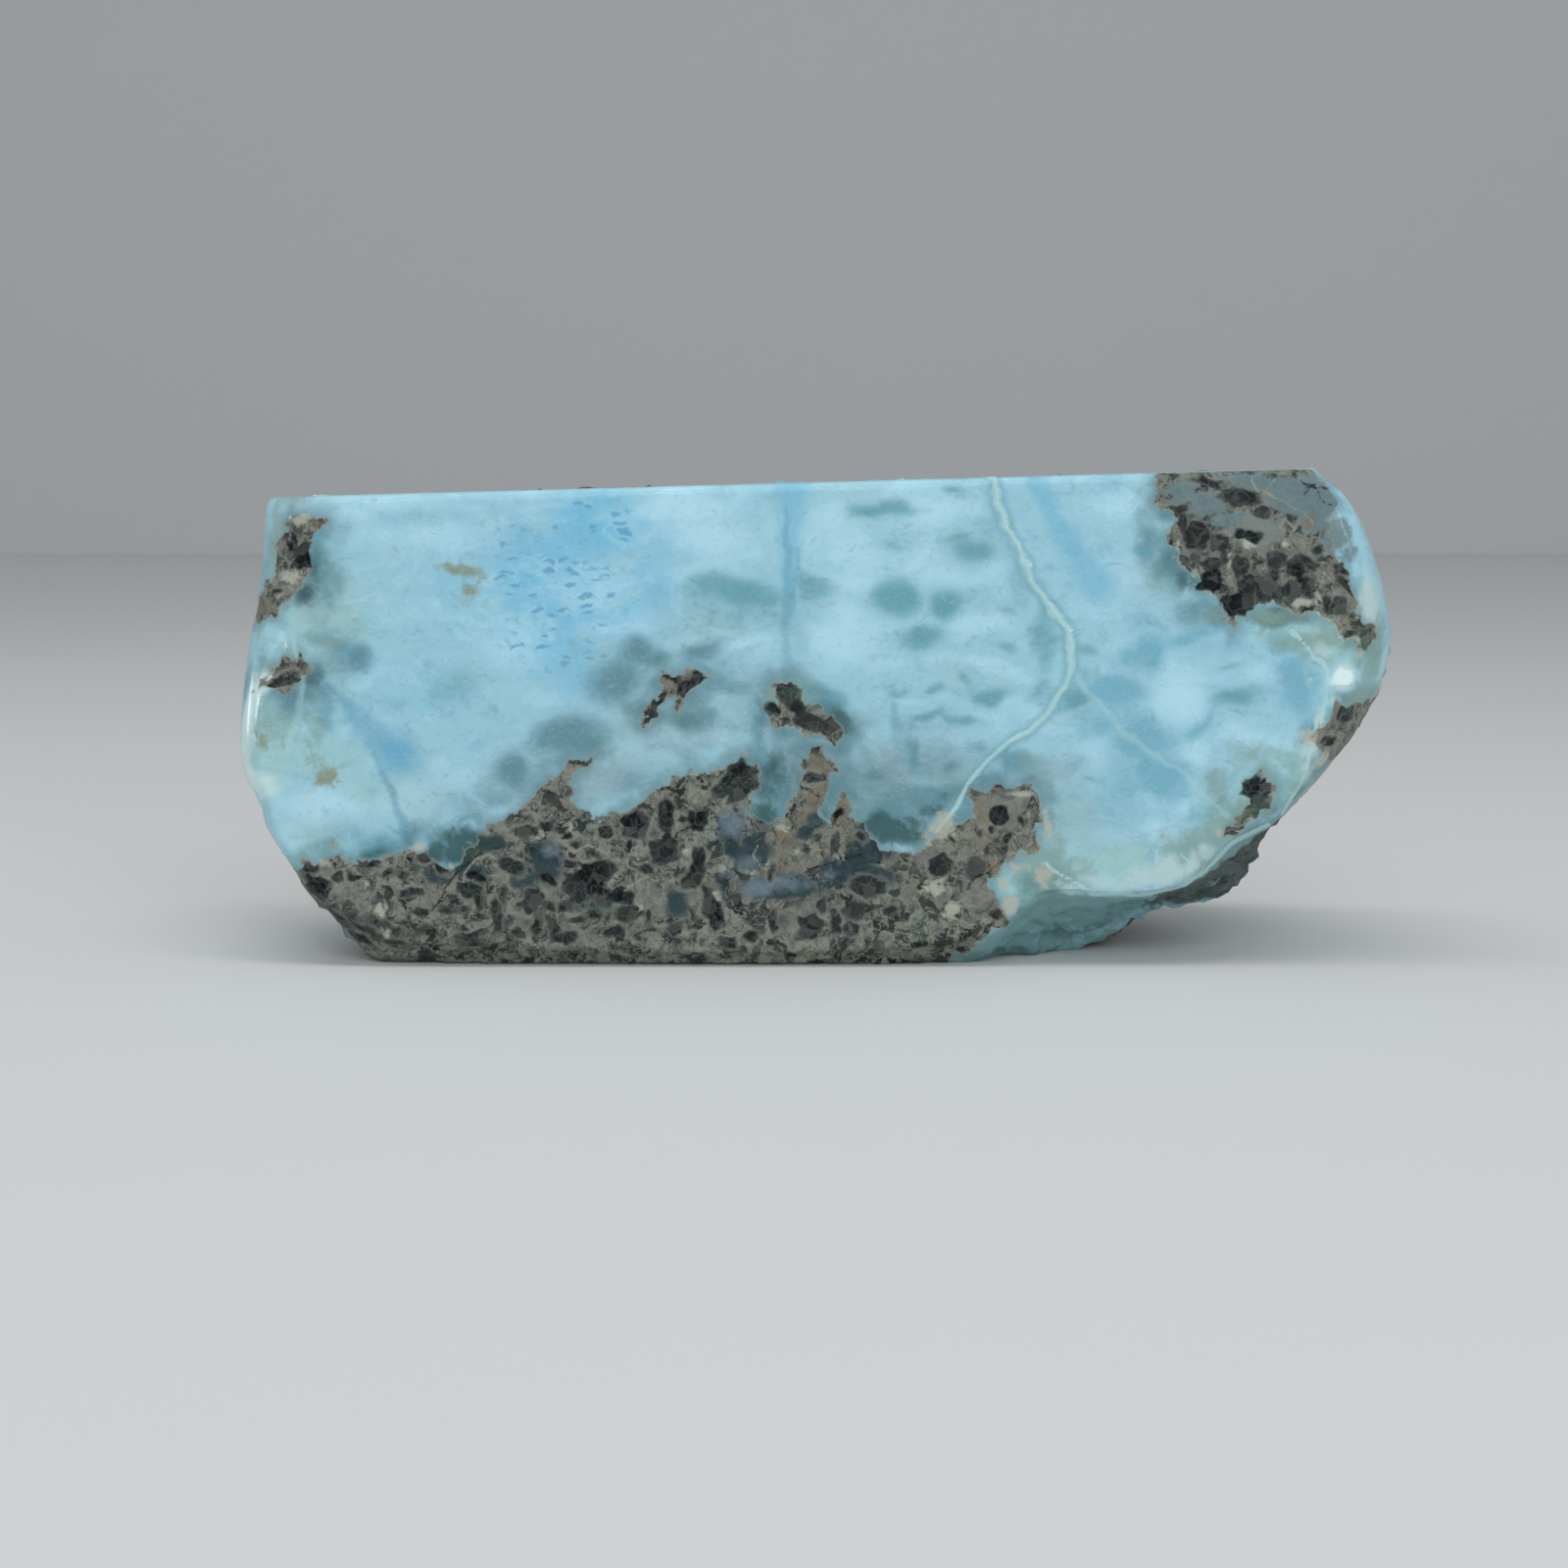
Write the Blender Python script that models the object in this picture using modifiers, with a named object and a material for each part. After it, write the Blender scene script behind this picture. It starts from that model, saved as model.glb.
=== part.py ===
"""A rough larimar slab: one natural stone, sawn and polished on its front and top, broken everywhere else.

The front is a flat polished window that rolls over at both ends, with a long chip out of its lower right
edge and open gas pits in the basalt along the bottom. The back, the ends and the underside are broken rock,
apart from a small sawn facet that the stone stands on.
Axes: X along the stone, Y from the front to the back, Z up. The origin is under the middle of the stone.
"""

import math

import bmesh
import bpy
from mathutils import Matrix, Vector, noise

MM = 0.001
STONE = "larimar_stone"

# Driving sizes
DEPTH = 18.0 * MM  # front to back, at the thickest place
TOP_HEIGHT = 23.75 * MM  # the sawn top above the resting facet, at the middle of the stone
TOP_TILT = math.radians(1.56)  # the sawn top rises towards the right end
GRAIN = 0.45 * MM  # cell size of the rough surface
TRIANGLES = 7600  # of the stone before its gas pits are cut
SAW_CUT = 0.04 * MM  # skimmed off each flat face, so that it is truly flat

# The sawn top, from left to right: where the flat front ends, the outline beside it, and how far behind
# the front that outline lies, in millimetres. The block is made SPARE higher, and then sawn.
TOP_EDGE = [(-24.2, -27.0, 2.6), (-19.6, -19.6, 0.3), (-1.5, -1.5, 0.3), (17.1, 17.1, 0.3), (21.8, 21.9, 0.5)]
SPARE = 1.0

# The rest of the rim, clockwise in millimetres: where the flat front ends (x, z), the outline of the
# stone beside it (x, z), and how far behind the front that outline lies.
RIGHT_END = [
    (24.0, 23.9, 24.5, 24.3, 0.9),
    (24.8, 22.9, 25.8, 23.4, 1.6),
    (25.4, 21.5, 27.0, 21.8, 2.4),
    (25.8, 19.8, 27.7, 20.2, 3.0),
    (25.9, 18.1, 28.4, 18.3, 3.6),
    (25.4, 16.7, 29.0, 16.5, 4.2),
    (24.4, 15.8, 28.9, 15.1, 4.4),
    (24.1, 14.4, 28.6, 13.7, 4.2),
    (24.3, 12.9, 27.6, 12.4, 3.2),
    (24.0, 11.6, 26.9, 11.0, 3.0),
    (23.7, 10.3, 25.9, 10.0, 2.4),
    (23.1, 9.4, 24.9, 8.9, 2.0),
    (22.6, 8.3, 23.6, 7.9, 1.4),
    (22.1, 7.2, 22.5, 6.6, 1.4),
]
CHIPPED_EDGE = [
    (21.0, 6.8, 22.4, 5.3, 3.6),
    (20.1, 5.9, 21.8, 3.9, 4.6),
    (19.1, 4.9, 20.8, 3.0, 5.2),
    (18.2, 4.0, 19.3, 2.0, 5.6),
    (16.9, 3.8, 17.4, 1.0, 5.8),
    (15.8, 3.6, 15.4, 0.2, 5.6),
    (13.5, 3.8, 13.3, -0.5, 5.0),
    (11.3, 4.1, 10.8, -0.8, 4.4),
]
UNDERSIDE = [
    (9.4, 2.1, 8.2, -0.5, 2.6),
    (5.2, 1.5, 4.3, -0.5, 1.8),
    (-0.5, 1.2, -1.5, -0.5, 1.5),
    (-6.3, 1.2, -6.8, -0.5, 1.5),
    (-12.0, 1.4, -12.1, -0.5, 1.6),
    (-17.2, 1.5, -17.2, -0.4, 1.9),
]
LOWER_LEFT = [
    (-21.6, 1.7, -22.2, -0.4, 2.0),
    (-22.9, 2.4, -23.5, 0.9, 2.0),
    (-24.0, 3.3, -24.4, 2.3, 1.6),
    (-24.9, 4.3, -25.4, 3.6, 1.1),
    (-25.6, 5.3, -26.1, 5.0, 0.8),
    (-26.3, 6.6, -27.1, 6.5, 0.8),
    (-26.5, 7.7, -27.5, 7.6, 0.9),
    (-26.5, 8.5, -27.5, 8.3, 1.0),
]
LEFT_END = [
    (-26.6, 9.3, -28.2, 8.8, 2.0),
    (-26.4, 10.8, -28.6, 10.3, 2.6),
    (-26.2, 12.5, -28.6, 12.3, 2.8),
    (-25.8, 14.1, -28.4, 14.3, 2.8),
    (-25.2, 15.9, -28.1, 16.0, 2.8),
    (-24.7, 17.8, -27.7, 17.7, 2.8),
    (-24.4, 19.6, -27.4, 19.5, 2.7),
    (-24.3, 21.3, -27.2, 21.2, 2.7),
]
# How each stretch turns over from the flat front: 1 is a rolled edge, 0 a flat break, below 0 a hollow one
RIM = [
    (RIGHT_END, 1.0),
    (CHIPPED_EDGE, -0.25),
    (UNDERSIDE, 0.6),
    (LOWER_LEFT, 0.3),
    (LEFT_END, 1.0),
]
ROLL_STEPS = 3

# Cross sections behind the rim: share of the depth, and the outline's scale along X
BODY_SECTIONS = [(0.45, 0.98), (0.72, 0.96), (1.0, 0.88)]

# Natural breaks that take off corners of the back: a point on each, in millimetres, and the way it faces
BREAKS = [
    ((-21.0, 15.5, 12.0), (-0.62, 0.76, 0.12)),
    ((-15.5, 15.6, 20.5), (-0.34, 0.84, 0.4)),
    ((-1.0, 17.0, 20.6), (0.1, 0.8, 0.6)),
    ((22.5, 14.0, 12.0), (0.74, 0.62, -0.18)),
    ((14.5, 15.2, 20.0), (0.16, 0.93, 0.3)),
    ((3.0, 16.8, 3.2), (0.08, 0.76, -0.64)),
    ((-18.0, 12.0, 2.2), (-0.42, 0.5, -0.76)),
    ((19.5, 11.0, 3.2), (0.52, 0.28, -0.8)),
    ((-27.0, 9.5, 4.0), (-0.82, 0.2, -0.54)),
    ((6.0, 17.4, 12.0), (0.06, 0.99, 0.05)),
]

# Open gas pits of the front, in millimetres: centre x, z, length, width, and the tilt of the length in degrees
GAS_PITS = [
    (-24.6, 3.95, 1.0, 0.9, 20),
    (-22.7, 4.45, 0.7, 0.35, 0),
    (-16.6, 4.5, 0.9, 0.6, 10),
    (-13.2, 4.3, 1.0, 0.55, -35),
    (-12.2, 6.6, 0.75, 0.4, 15),
    (-10.9, 4.4, 1.5, 1.2, -20),
    (-9.7, 3.5, 0.9, 0.7, 0),
    (-8.9, 7.2, 1.0, 0.85, 30),
    (-7.3, 7.5, 1.3, 0.65, 88),
    (-7.3, 6.0, 1.0, 0.85, 70),
    (-5.7, 7.4, 0.9, 0.5, 60),
    (-5.7, 5.1, 1.2, 0.5, 65),
    (-4.9, 2.9, 1.4, 0.45, -80),
    (-4.1, 9.55, 1.7, 0.65, 40),
    (-2.1, 12.7, 1.0, 0.6, -50),
    (-0.2, 2.2, 1.3, 0.8, -15),
    (1.1, 7.6, 0.9, 0.45, 20),
    (9.0, 7.6, 1.2, 0.8, 60),
    (19.2, 18.9, 1.2, 0.9, 25),
    (20.6, 17.9, 1.6, 1.0, 10),
    (21.0, 21.2, 1.4, 0.6, -10),
    (23.3, 19.4, 1.1, 0.5, -40),
    (-25.0, 20.2, 0.9, 1.3, 10),
    (21.4, 9.0, 1.3, 0.7, 55),
    (-6.4, 13.8, 1.3, 0.45, 40),
]
PIT_DEPTH = 0.35 * MM

# The broken surface: spacing and depth of its fracture scoops, of the flakes in them, and of its vugs
BREAK_SIZE, BREAK_DEPTH = 8.5 * MM, 1.5 * MM
FLAKE_SIZE, FLAKE_DEPTH = 3.2 * MM, 0.55 * MM
VUG_SIZE, VUG_DEPTH = 2.8 * MM, 0.8 * MM
POLISHED_ROLL = 2.2 * MM  # how far back the polish goes over the rolled ends


def clear_scene():
    """Removes whatever the file opened with."""
    for obj in list(bpy.data.objects):
        bpy.data.objects.remove(obj)


def smooth_step(low, high, value):
    """0 at low and before it, 1 at high and past it, and a smooth change between."""
    t = min(1.0, max(0.0, (value - low) / (high - low)))
    return t * t * (3.0 - 2.0 * t)


def top_gap(point):
    """How far a point lies under the uncut top of the block."""
    return TOP_HEIGHT + SPARE * MM - point.z


def rim_rows():
    """Every point of the rim as (flat front's edge, outline beside it, how it turns over)."""
    rows = []
    for face_x, edge_x, setback in TOP_EDGE:
        z = TOP_HEIGHT / MM + SPARE
        rows.append((Vector((face_x, 0.0, z)) * MM, Vector((edge_x, setback, z)) * MM, 1.0))
    for stretch, roll in RIM:
        for face_x, face_z, edge_x, edge_z, setback in stretch:
            rows.append((Vector((face_x, 0.0, face_z)) * MM, Vector((edge_x, setback, edge_z)) * MM, roll))
    return rows


def rim_sections():
    """The rings of the stone from front to back, each with one corner for every row of the rim."""
    rows = rim_rows()
    rings = []
    for step in range(ROLL_STEPS + 1):
        share = step / ROLL_STEPS
        angle = share * math.pi / 2
        ring = []
        for face, edge, roll in rows:
            out = share + (math.sin(angle) - share) * roll
            back = share + (1.0 - math.cos(angle) - share) * roll
            point = face.lerp(edge, out)
            point.y = edge.y * back
            ring.append(point)
        rings.append(ring)
    for share, scale in BODY_SECTIONS:
        rings.append([Vector((edge.x * scale, DEPTH * share, edge.z)) for _, edge, _ in rows])
    return rings


def loft(rings):
    """Joins unlike rings of equal count into one closed shell, capped at both ends."""
    bm = bmesh.new()
    corners = [[bm.verts.new(point) for point in ring] for ring in rings]
    count = len(corners[0])
    for near, far in zip(corners, corners[1:]):
        for i in range(count):
            j = (i + 1) % count
            bm.faces.new((near[i], near[j], far[j], far[i]))
    bm.faces.new(corners[0])
    bm.faces.new(corners[-1])
    bmesh.ops.recalc_face_normals(bm, faces=bm.faces)
    return bm


def cut_off(bm, point, facing):
    """Takes away all that lies beyond a plane and closes the cut with one flat face."""
    everything = bm.verts[:] + bm.edges[:] + bm.faces[:]
    cut = bmesh.ops.bisect_plane(
        bm, geom=everything, dist=1e-7, plane_co=point, plane_no=facing, clear_outer=True
    )
    rim = [e for e in cut["geom_cut"] if isinstance(e, bmesh.types.BMEdge)]
    bmesh.ops.holes_fill(bm, edges=rim, sides=0)
    bmesh.ops.recalc_face_normals(bm, faces=bm.faces)


def drop_slivers(bm):
    """Deletes whatever the cuts have freed, and keeps the largest piece."""
    pieces = []
    unseen = set(bm.verts)
    while unseen:
        piece = {unseen.pop()}
        edge_of_piece = list(piece)
        while edge_of_piece:
            vertex = edge_of_piece.pop()
            for edge in vertex.link_edges:
                other = edge.other_vert(vertex)
                if other in unseen:
                    unseen.remove(other)
                    piece.add(other)
                    edge_of_piece.append(other)
        pieces.append(piece)
    pieces.sort(key=len)
    for piece in pieces[:-1]:
        bmesh.ops.delete(bm, geom=list(piece), context="VERTS")


def with_modifier(mesh, kind, **settings):
    """The mesh after one modifier, as a new mesh."""
    obj = bpy.data.objects.new("work", mesh)
    bpy.context.scene.collection.objects.link(obj)
    modifier = obj.modifiers.new(kind.title(), kind)
    for key, value in settings.items():
        setattr(modifier, key, value)
    graph = bpy.context.evaluated_depsgraph_get()
    result = bpy.data.meshes.new_from_object(obj.evaluated_get(graph))
    bpy.data.objects.remove(obj)
    return result


def roughness_at(point, facing):
    """How broken the surface is: 0 on the polished front, its rolled ends and the sawn top, 1 on the back."""
    polish = POLISHED_ROLL * smooth_step(7.0 * MM, 11.0 * MM, point.z)
    behind_front = smooth_step(0.3 * MM + polish, 4.0 * MM + polish, point.y)
    on_top = smooth_step(0.8, 0.95, facing.z) * smooth_step(2.5 * MM, 0.8 * MM, top_gap(point))
    return behind_front * (1.0 - on_top)


def chips_at(point, size):
    """Scooped fractures of about that size, 0 in the middle of a scoop and near 1 on the ridges between."""
    nearest = noise.voronoi(point / size)[0][0]
    return min(1.0, nearest * nearest * 1.6)


def relief_at(point):
    """Height of the broken surface over its mean, in metres: scooped breaks, lumps, hollows and grain."""
    at_mm = point / MM
    scoops = (chips_at(point, BREAK_SIZE) - 0.45) * BREAK_DEPTH
    flakes = (chips_at(point + Vector((3.0, 1.0, 7.0)) * MM, FLAKE_SIZE) - 0.45) * FLAKE_DEPTH
    lumps = noise.fractal(at_mm / 6.0, 1.0, 2.0, 3) * 0.5 * MM
    vuggy = smooth_step(0.0, 0.35, noise.noise(at_mm / 11.0 + Vector((5.0, 2.0, 8.0))))
    nearest = noise.voronoi(point / VUG_SIZE)[0][0]
    hollow = -VUG_DEPTH * vuggy * (1.0 - smooth_step(0.12, 0.45, nearest))
    return scoops + flakes + lumps + hollow


def roughen(mesh):
    """Moves each point of the broken surface along its normal."""
    bm = bmesh.new()
    bm.from_mesh(mesh)
    bm.normal_update()
    moves = [v.normal * relief_at(v.co) * roughness_at(v.co, v.normal) for v in bm.verts]
    for vertex, move in zip(bm.verts, moves):
        vertex.co += move
    bm.to_mesh(mesh)
    bm.free()


def rough_stone():
    """The broken block with its sawn front, top and resting facet, before the gas pits."""
    bm = loft(rim_sections())
    for point, facing in BREAKS:
        cut_off(bm, Vector(point) * MM, Vector(facing).normalized())
    bmesh.ops.triangulate(bm, faces=bm.faces)
    block = bpy.data.meshes.new("block")
    bm.to_mesh(block)
    bm.free()
    grained = with_modifier(block, "REMESH", mode="VOXEL", voxel_size=GRAIN)
    roughen(grained)
    triangles = sum(len(polygon.vertices) - 2 for polygon in grained.polygons)
    coarse = with_modifier(grained, "DECIMATE", ratio=TRIANGLES / triangles, use_collapse_triangulate=True)

    bm = bmesh.new()
    bm.from_mesh(coarse)
    up = Vector((-math.sin(TOP_TILT), 0.0, math.cos(TOP_TILT)))
    cut_off(bm, Vector((0.0, SAW_CUT, 0.0)), Vector((0.0, -1.0, 0.0)))
    cut_off(bm, Vector((0.0, 0.0, TOP_HEIGHT)), up)
    cut_off(bm, Vector((0.0, 0.0, 0.0)), Vector((0.0, 0.0, -1.0)))
    drop_slivers(bm)
    bmesh.ops.triangulate(bm, faces=bm.faces)
    mesh = bpy.data.meshes.new(STONE)
    bm.to_mesh(mesh)
    bm.free()
    return mesh


def pit_cutter():
    """One flattened ball for each gas pit, half sunk in the plane of the front."""
    bm = bmesh.new()
    for x, z, length, width, tilt in GAS_PITS:
        size = Matrix.Diagonal((length / 2 * MM, PIT_DEPTH, width / 2 * MM, 1.0))
        turn = Matrix.Rotation(-math.radians(tilt), 4, "Y")
        place = Matrix.Translation((x * MM, SAW_CUT, z * MM))
        bmesh.ops.create_icosphere(bm, subdivisions=2, radius=1.0, matrix=place @ turn @ size)
    mesh = bpy.data.meshes.new("gas_pits")
    bm.to_mesh(mesh)
    bm.free()
    cutter = bpy.data.objects.new("gas_pits", mesh)
    cutter.hide_render = True
    cutter.display_type = "WIRE"
    return cutter


def larimar_material():
    """Blue pectolite, polished."""
    material = bpy.data.materials.new("larimar")
    material.use_nodes = True
    shader = material.node_tree.nodes["Principled BSDF"]
    shader.inputs["Base Color"].default_value = (0.36, 0.65, 0.76, 1.0)
    shader.inputs["Roughness"].default_value = 0.25
    shader.inputs["Metallic"].default_value = 0.0
    return material


def settle(mesh):
    """Puts the origin under the middle of the stone, on the resting facet."""
    xs = [v.co.x for v in mesh.vertices]
    ys = [v.co.y for v in mesh.vertices]
    zs = [v.co.z for v in mesh.vertices]
    middle = Vector(((min(xs) + max(xs)) / 2, (min(ys) + max(ys)) / 2, min(zs)))
    mesh.transform(Matrix.Translation(-middle))


def main():
    clear_scene()
    model = bpy.data.collections.new("rough_larimar")
    helpers = bpy.data.collections.new("cutters")
    bpy.context.scene.collection.children.link(model)
    bpy.context.scene.collection.children.link(helpers)

    stone = bpy.data.objects.new("uncut", rough_stone())
    model.objects.link(stone)
    cutter = pit_cutter()
    helpers.objects.link(cutter)
    pits = stone.modifiers.new("Gas pits", "BOOLEAN")
    pits.operation = "DIFFERENCE"
    pits.object = cutter
    graph = bpy.context.evaluated_depsgraph_get()
    finished = bpy.data.meshes.new_from_object(stone.evaluated_get(graph))
    bpy.data.objects.remove(stone)

    settle(finished)
    finished.materials.clear()
    finished.materials.append(larimar_material())
    finished.shade_smooth()
    finished.set_sharp_from_angle(angle=math.radians(40))
    model.objects.link(bpy.data.objects.new(STONE, finished))


main()
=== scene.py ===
import math

import bmesh
import bpy
import numpy as np
from mathutils import Matrix, Vector, noise


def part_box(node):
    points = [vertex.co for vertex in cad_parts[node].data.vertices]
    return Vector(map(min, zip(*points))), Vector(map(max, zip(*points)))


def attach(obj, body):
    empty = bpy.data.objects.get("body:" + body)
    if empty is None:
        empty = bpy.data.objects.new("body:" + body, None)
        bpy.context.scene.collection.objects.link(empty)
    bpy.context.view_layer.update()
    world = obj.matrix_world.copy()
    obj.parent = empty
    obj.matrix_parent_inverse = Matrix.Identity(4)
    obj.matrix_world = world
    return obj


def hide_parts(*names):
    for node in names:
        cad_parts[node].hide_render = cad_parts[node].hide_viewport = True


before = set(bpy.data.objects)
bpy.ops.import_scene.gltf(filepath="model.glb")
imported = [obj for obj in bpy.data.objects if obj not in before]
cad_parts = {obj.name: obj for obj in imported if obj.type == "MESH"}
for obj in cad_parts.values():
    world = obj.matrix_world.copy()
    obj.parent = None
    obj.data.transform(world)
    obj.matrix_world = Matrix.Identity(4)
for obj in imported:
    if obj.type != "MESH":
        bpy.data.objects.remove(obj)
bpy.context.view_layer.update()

mm = 0.001
stoneLow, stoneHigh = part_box("larimar_stone")
print("frame loaded: one stone,", [round(v / mm, 1) for v in stoneHigh - stoneLow], "mm")

# How the stone was cut. The front plane, the base and the saw marks all follow the CAD solid.
cut = {
    "frontY": stoneLow.y,  # the polished plane
    "topHeight": 23.755,  # mm, the sawn top over x = 0
    "topTilt": math.radians(1.56),
    "edgeRadius": 0.28,  # mm, the polished edge between front and top
    "polishDepth": 2.2,  # mm, how far back the polish goes over the rolled ends
}

# The gas pits that the CAD solid has in its front: x, z, length, width in mm, tilt in degrees
gasPits = [
    (-24.78, 3.95, 1.0, 0.9, 20), (-22.88, 4.45, 0.7, 0.35, 0), (-16.78, 4.5, 0.9, 0.6, 10),
    (-13.38, 4.3, 1.0, 0.55, -35), (-12.38, 6.6, 0.75, 0.4, 15), (-11.08, 4.4, 1.5, 1.2, -20),
    (-9.88, 3.5, 0.9, 0.7, 0), (-9.08, 7.2, 1.0, 0.85, 30), (-7.48, 7.5, 1.3, 0.65, 88),
    (-7.48, 6.0, 1.0, 0.85, 70), (-5.88, 7.4, 0.9, 0.5, 60), (-5.88, 5.1, 1.2, 0.5, 65),
    (-5.08, 2.9, 1.4, 0.45, -80), (-4.28, 9.55, 1.7, 0.65, 40), (-2.28, 12.7, 1.0, 0.6, -50),
    (-0.38, 2.2, 1.3, 0.8, -15), (0.92, 7.6, 0.9, 0.45, 20), (8.82, 7.6, 1.2, 0.8, 60),
    (19.02, 18.9, 1.2, 0.9, 25), (20.42, 17.9, 1.6, 1.0, 10), (20.82, 21.2, 1.4, 0.6, -10),
    (23.12, 19.4, 1.1, 0.5, -40), (-25.18, 20.2, 0.9, 1.3, 10), (21.22, 9.0, 1.3, 0.7, 55),
    (-6.58, 13.8, 1.3, 0.45, 40),
]

# Outlines of the basalt on the front, in mm from the middle of the stone and above its base
basaltOutlines = {
    "base": [
        (-29.8, 5.9), (-26.0, 4.8), (-25.0, 5.1), (-24.2, 5.5), (-23.6, 5.3), (-22.3, 5.2), (-21.3, 5.5),
        (-19.7, 5.8), (-18.7, 5.3), (-18.2, 5.0), (-17.3, 5.7), (-16.4, 6.7), (-15.5, 7.1), (-14.4, 7.7),
        (-13.7, 8.8), (-12.8, 9.7), (-11.9, 10.3), (-10.9, 10.5), (-11.3, 10.0), (-12.2, 9.3), (-12.3, 8.4),
        (-11.3, 7.4), (-9.7, 7.6), (-8.4, 8.4), (-7.1, 9.3), (-5.0, 9.7), (-3.5, 10.3), (-2.8, 9.8),
        (-3.1, 8.8), (-3.5, 7.8), (-2.9, 7.2), (-1.7, 7.5), (-1.0, 8.6), (-0.8, 9.6), (-0.4, 10.8),
        (0.2, 10.7), (1.0, 9.7), (0.5, 8.8), (-0.0, 7.7), (0.5, 7.3), (1.1, 8.5), (1.7, 7.6), (2.4, 6.4),
        (3.3, 5.9), (5.1, 5.8), (5.8, 6.7), (6.8, 7.0), (7.6, 7.5), (7.6, 8.7), (8.9, 9.0), (10.2, 8.9),
        (10.9, 7.9), (10.7, 6.6), (10.4, 5.7), (9.6, 5.4), (8.8, 4.8), (8.3, 4.0), (8.6, 3.4), (9.4, 2.8),
        (9.3, 2.1), (8.3, 1.5), (7.2, 0.9), (6.5, 0.1), (6.2, -2.1), (-30.0, -2.1),
    ],
    "topRight": [
        (16.3, 25.5), (16.4, 22.6), (17.2, 22.0), (16.9, 21.2), (17.3, 20.1), (18.3, 19.0), (19.4, 18.1),
        (19.9, 16.9), (20.5, 17.6), (22.0, 17.9), (23.3, 17.3), (24.3, 17.5), (24.9, 17.1), (25.8, 16.4),
        (26.7, 15.5), (27.5, 15.9), (27.3, 16.6), (26.2, 17.3), (26.1, 18.6), (25.4, 19.7), (24.8, 20.6),
        (24.4, 22.0), (25.0, 22.6), (24.3, 23.9), (23.6, 25.5),
    ],
    "leftUpper": [
        (-25.9, 21.6), (-25.0, 22.1), (-24.0, 22.1), (-23.9, 21.7), (-24.5, 21.4), (-24.7, 20.1),
        (-24.9, 19.0), (-25.5, 18.5), (-26.0, 18.1), (-26.4, 17.5), (-28.4, 16.9), (-28.4, 17.7),
        (-27.1, 18.5), (-26.6, 19.5), (-26.4, 20.7),
    ],
    "leftLower": [
        (-25.2, 15.8), (-24.9, 14.8), (-25.2, 14.0), (-26.1, 13.8), (-26.7, 14.0), (-27.6, 13.7),
        (-26.9, 14.6), (-25.8, 15.3),
    ],
    "island": [
        (-7.5, 14.6), (-6.3, 14.8), (-5.5, 14.7), (-5.5, 14.2), (-6.1, 13.8), (-6.6, 13.1), (-6.8, 12.6),
        (-6.9, 13.5), (-7.4, 13.1), (-8.1, 12.1), (-8.6, 12.1), (-8.1, 13.1), (-7.6, 13.8),
    ],
    "greenIsland": [
        (-2.3, 13.8), (-1.5, 14.1), (-0.8, 13.6), (-0.6, 12.9), (0.2, 12.7), (1.1, 12.2), (1.3, 11.8),
        (0.8, 11.2), (-0.3, 11.4), (-1.4, 11.8), (-2.2, 12.3), (-2.0, 13.0),
    ],
    "rightEdge": [
        (25.4, 13.0), (28.6, 13.0), (28.2, 11.0), (25.4, 9.6), (23.9, 11.3), (24.7, 11.9),
    ],
    "lowerRight": [
        (20.9, 8.8), (21.8, 9.5), (22.3, 8.9), (22.0, 7.9), (21.5, 7.3), (20.5, 6.6), (19.9, 6.4),
        (20.3, 7.2), (21.2, 7.8),
    ],
}

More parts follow.
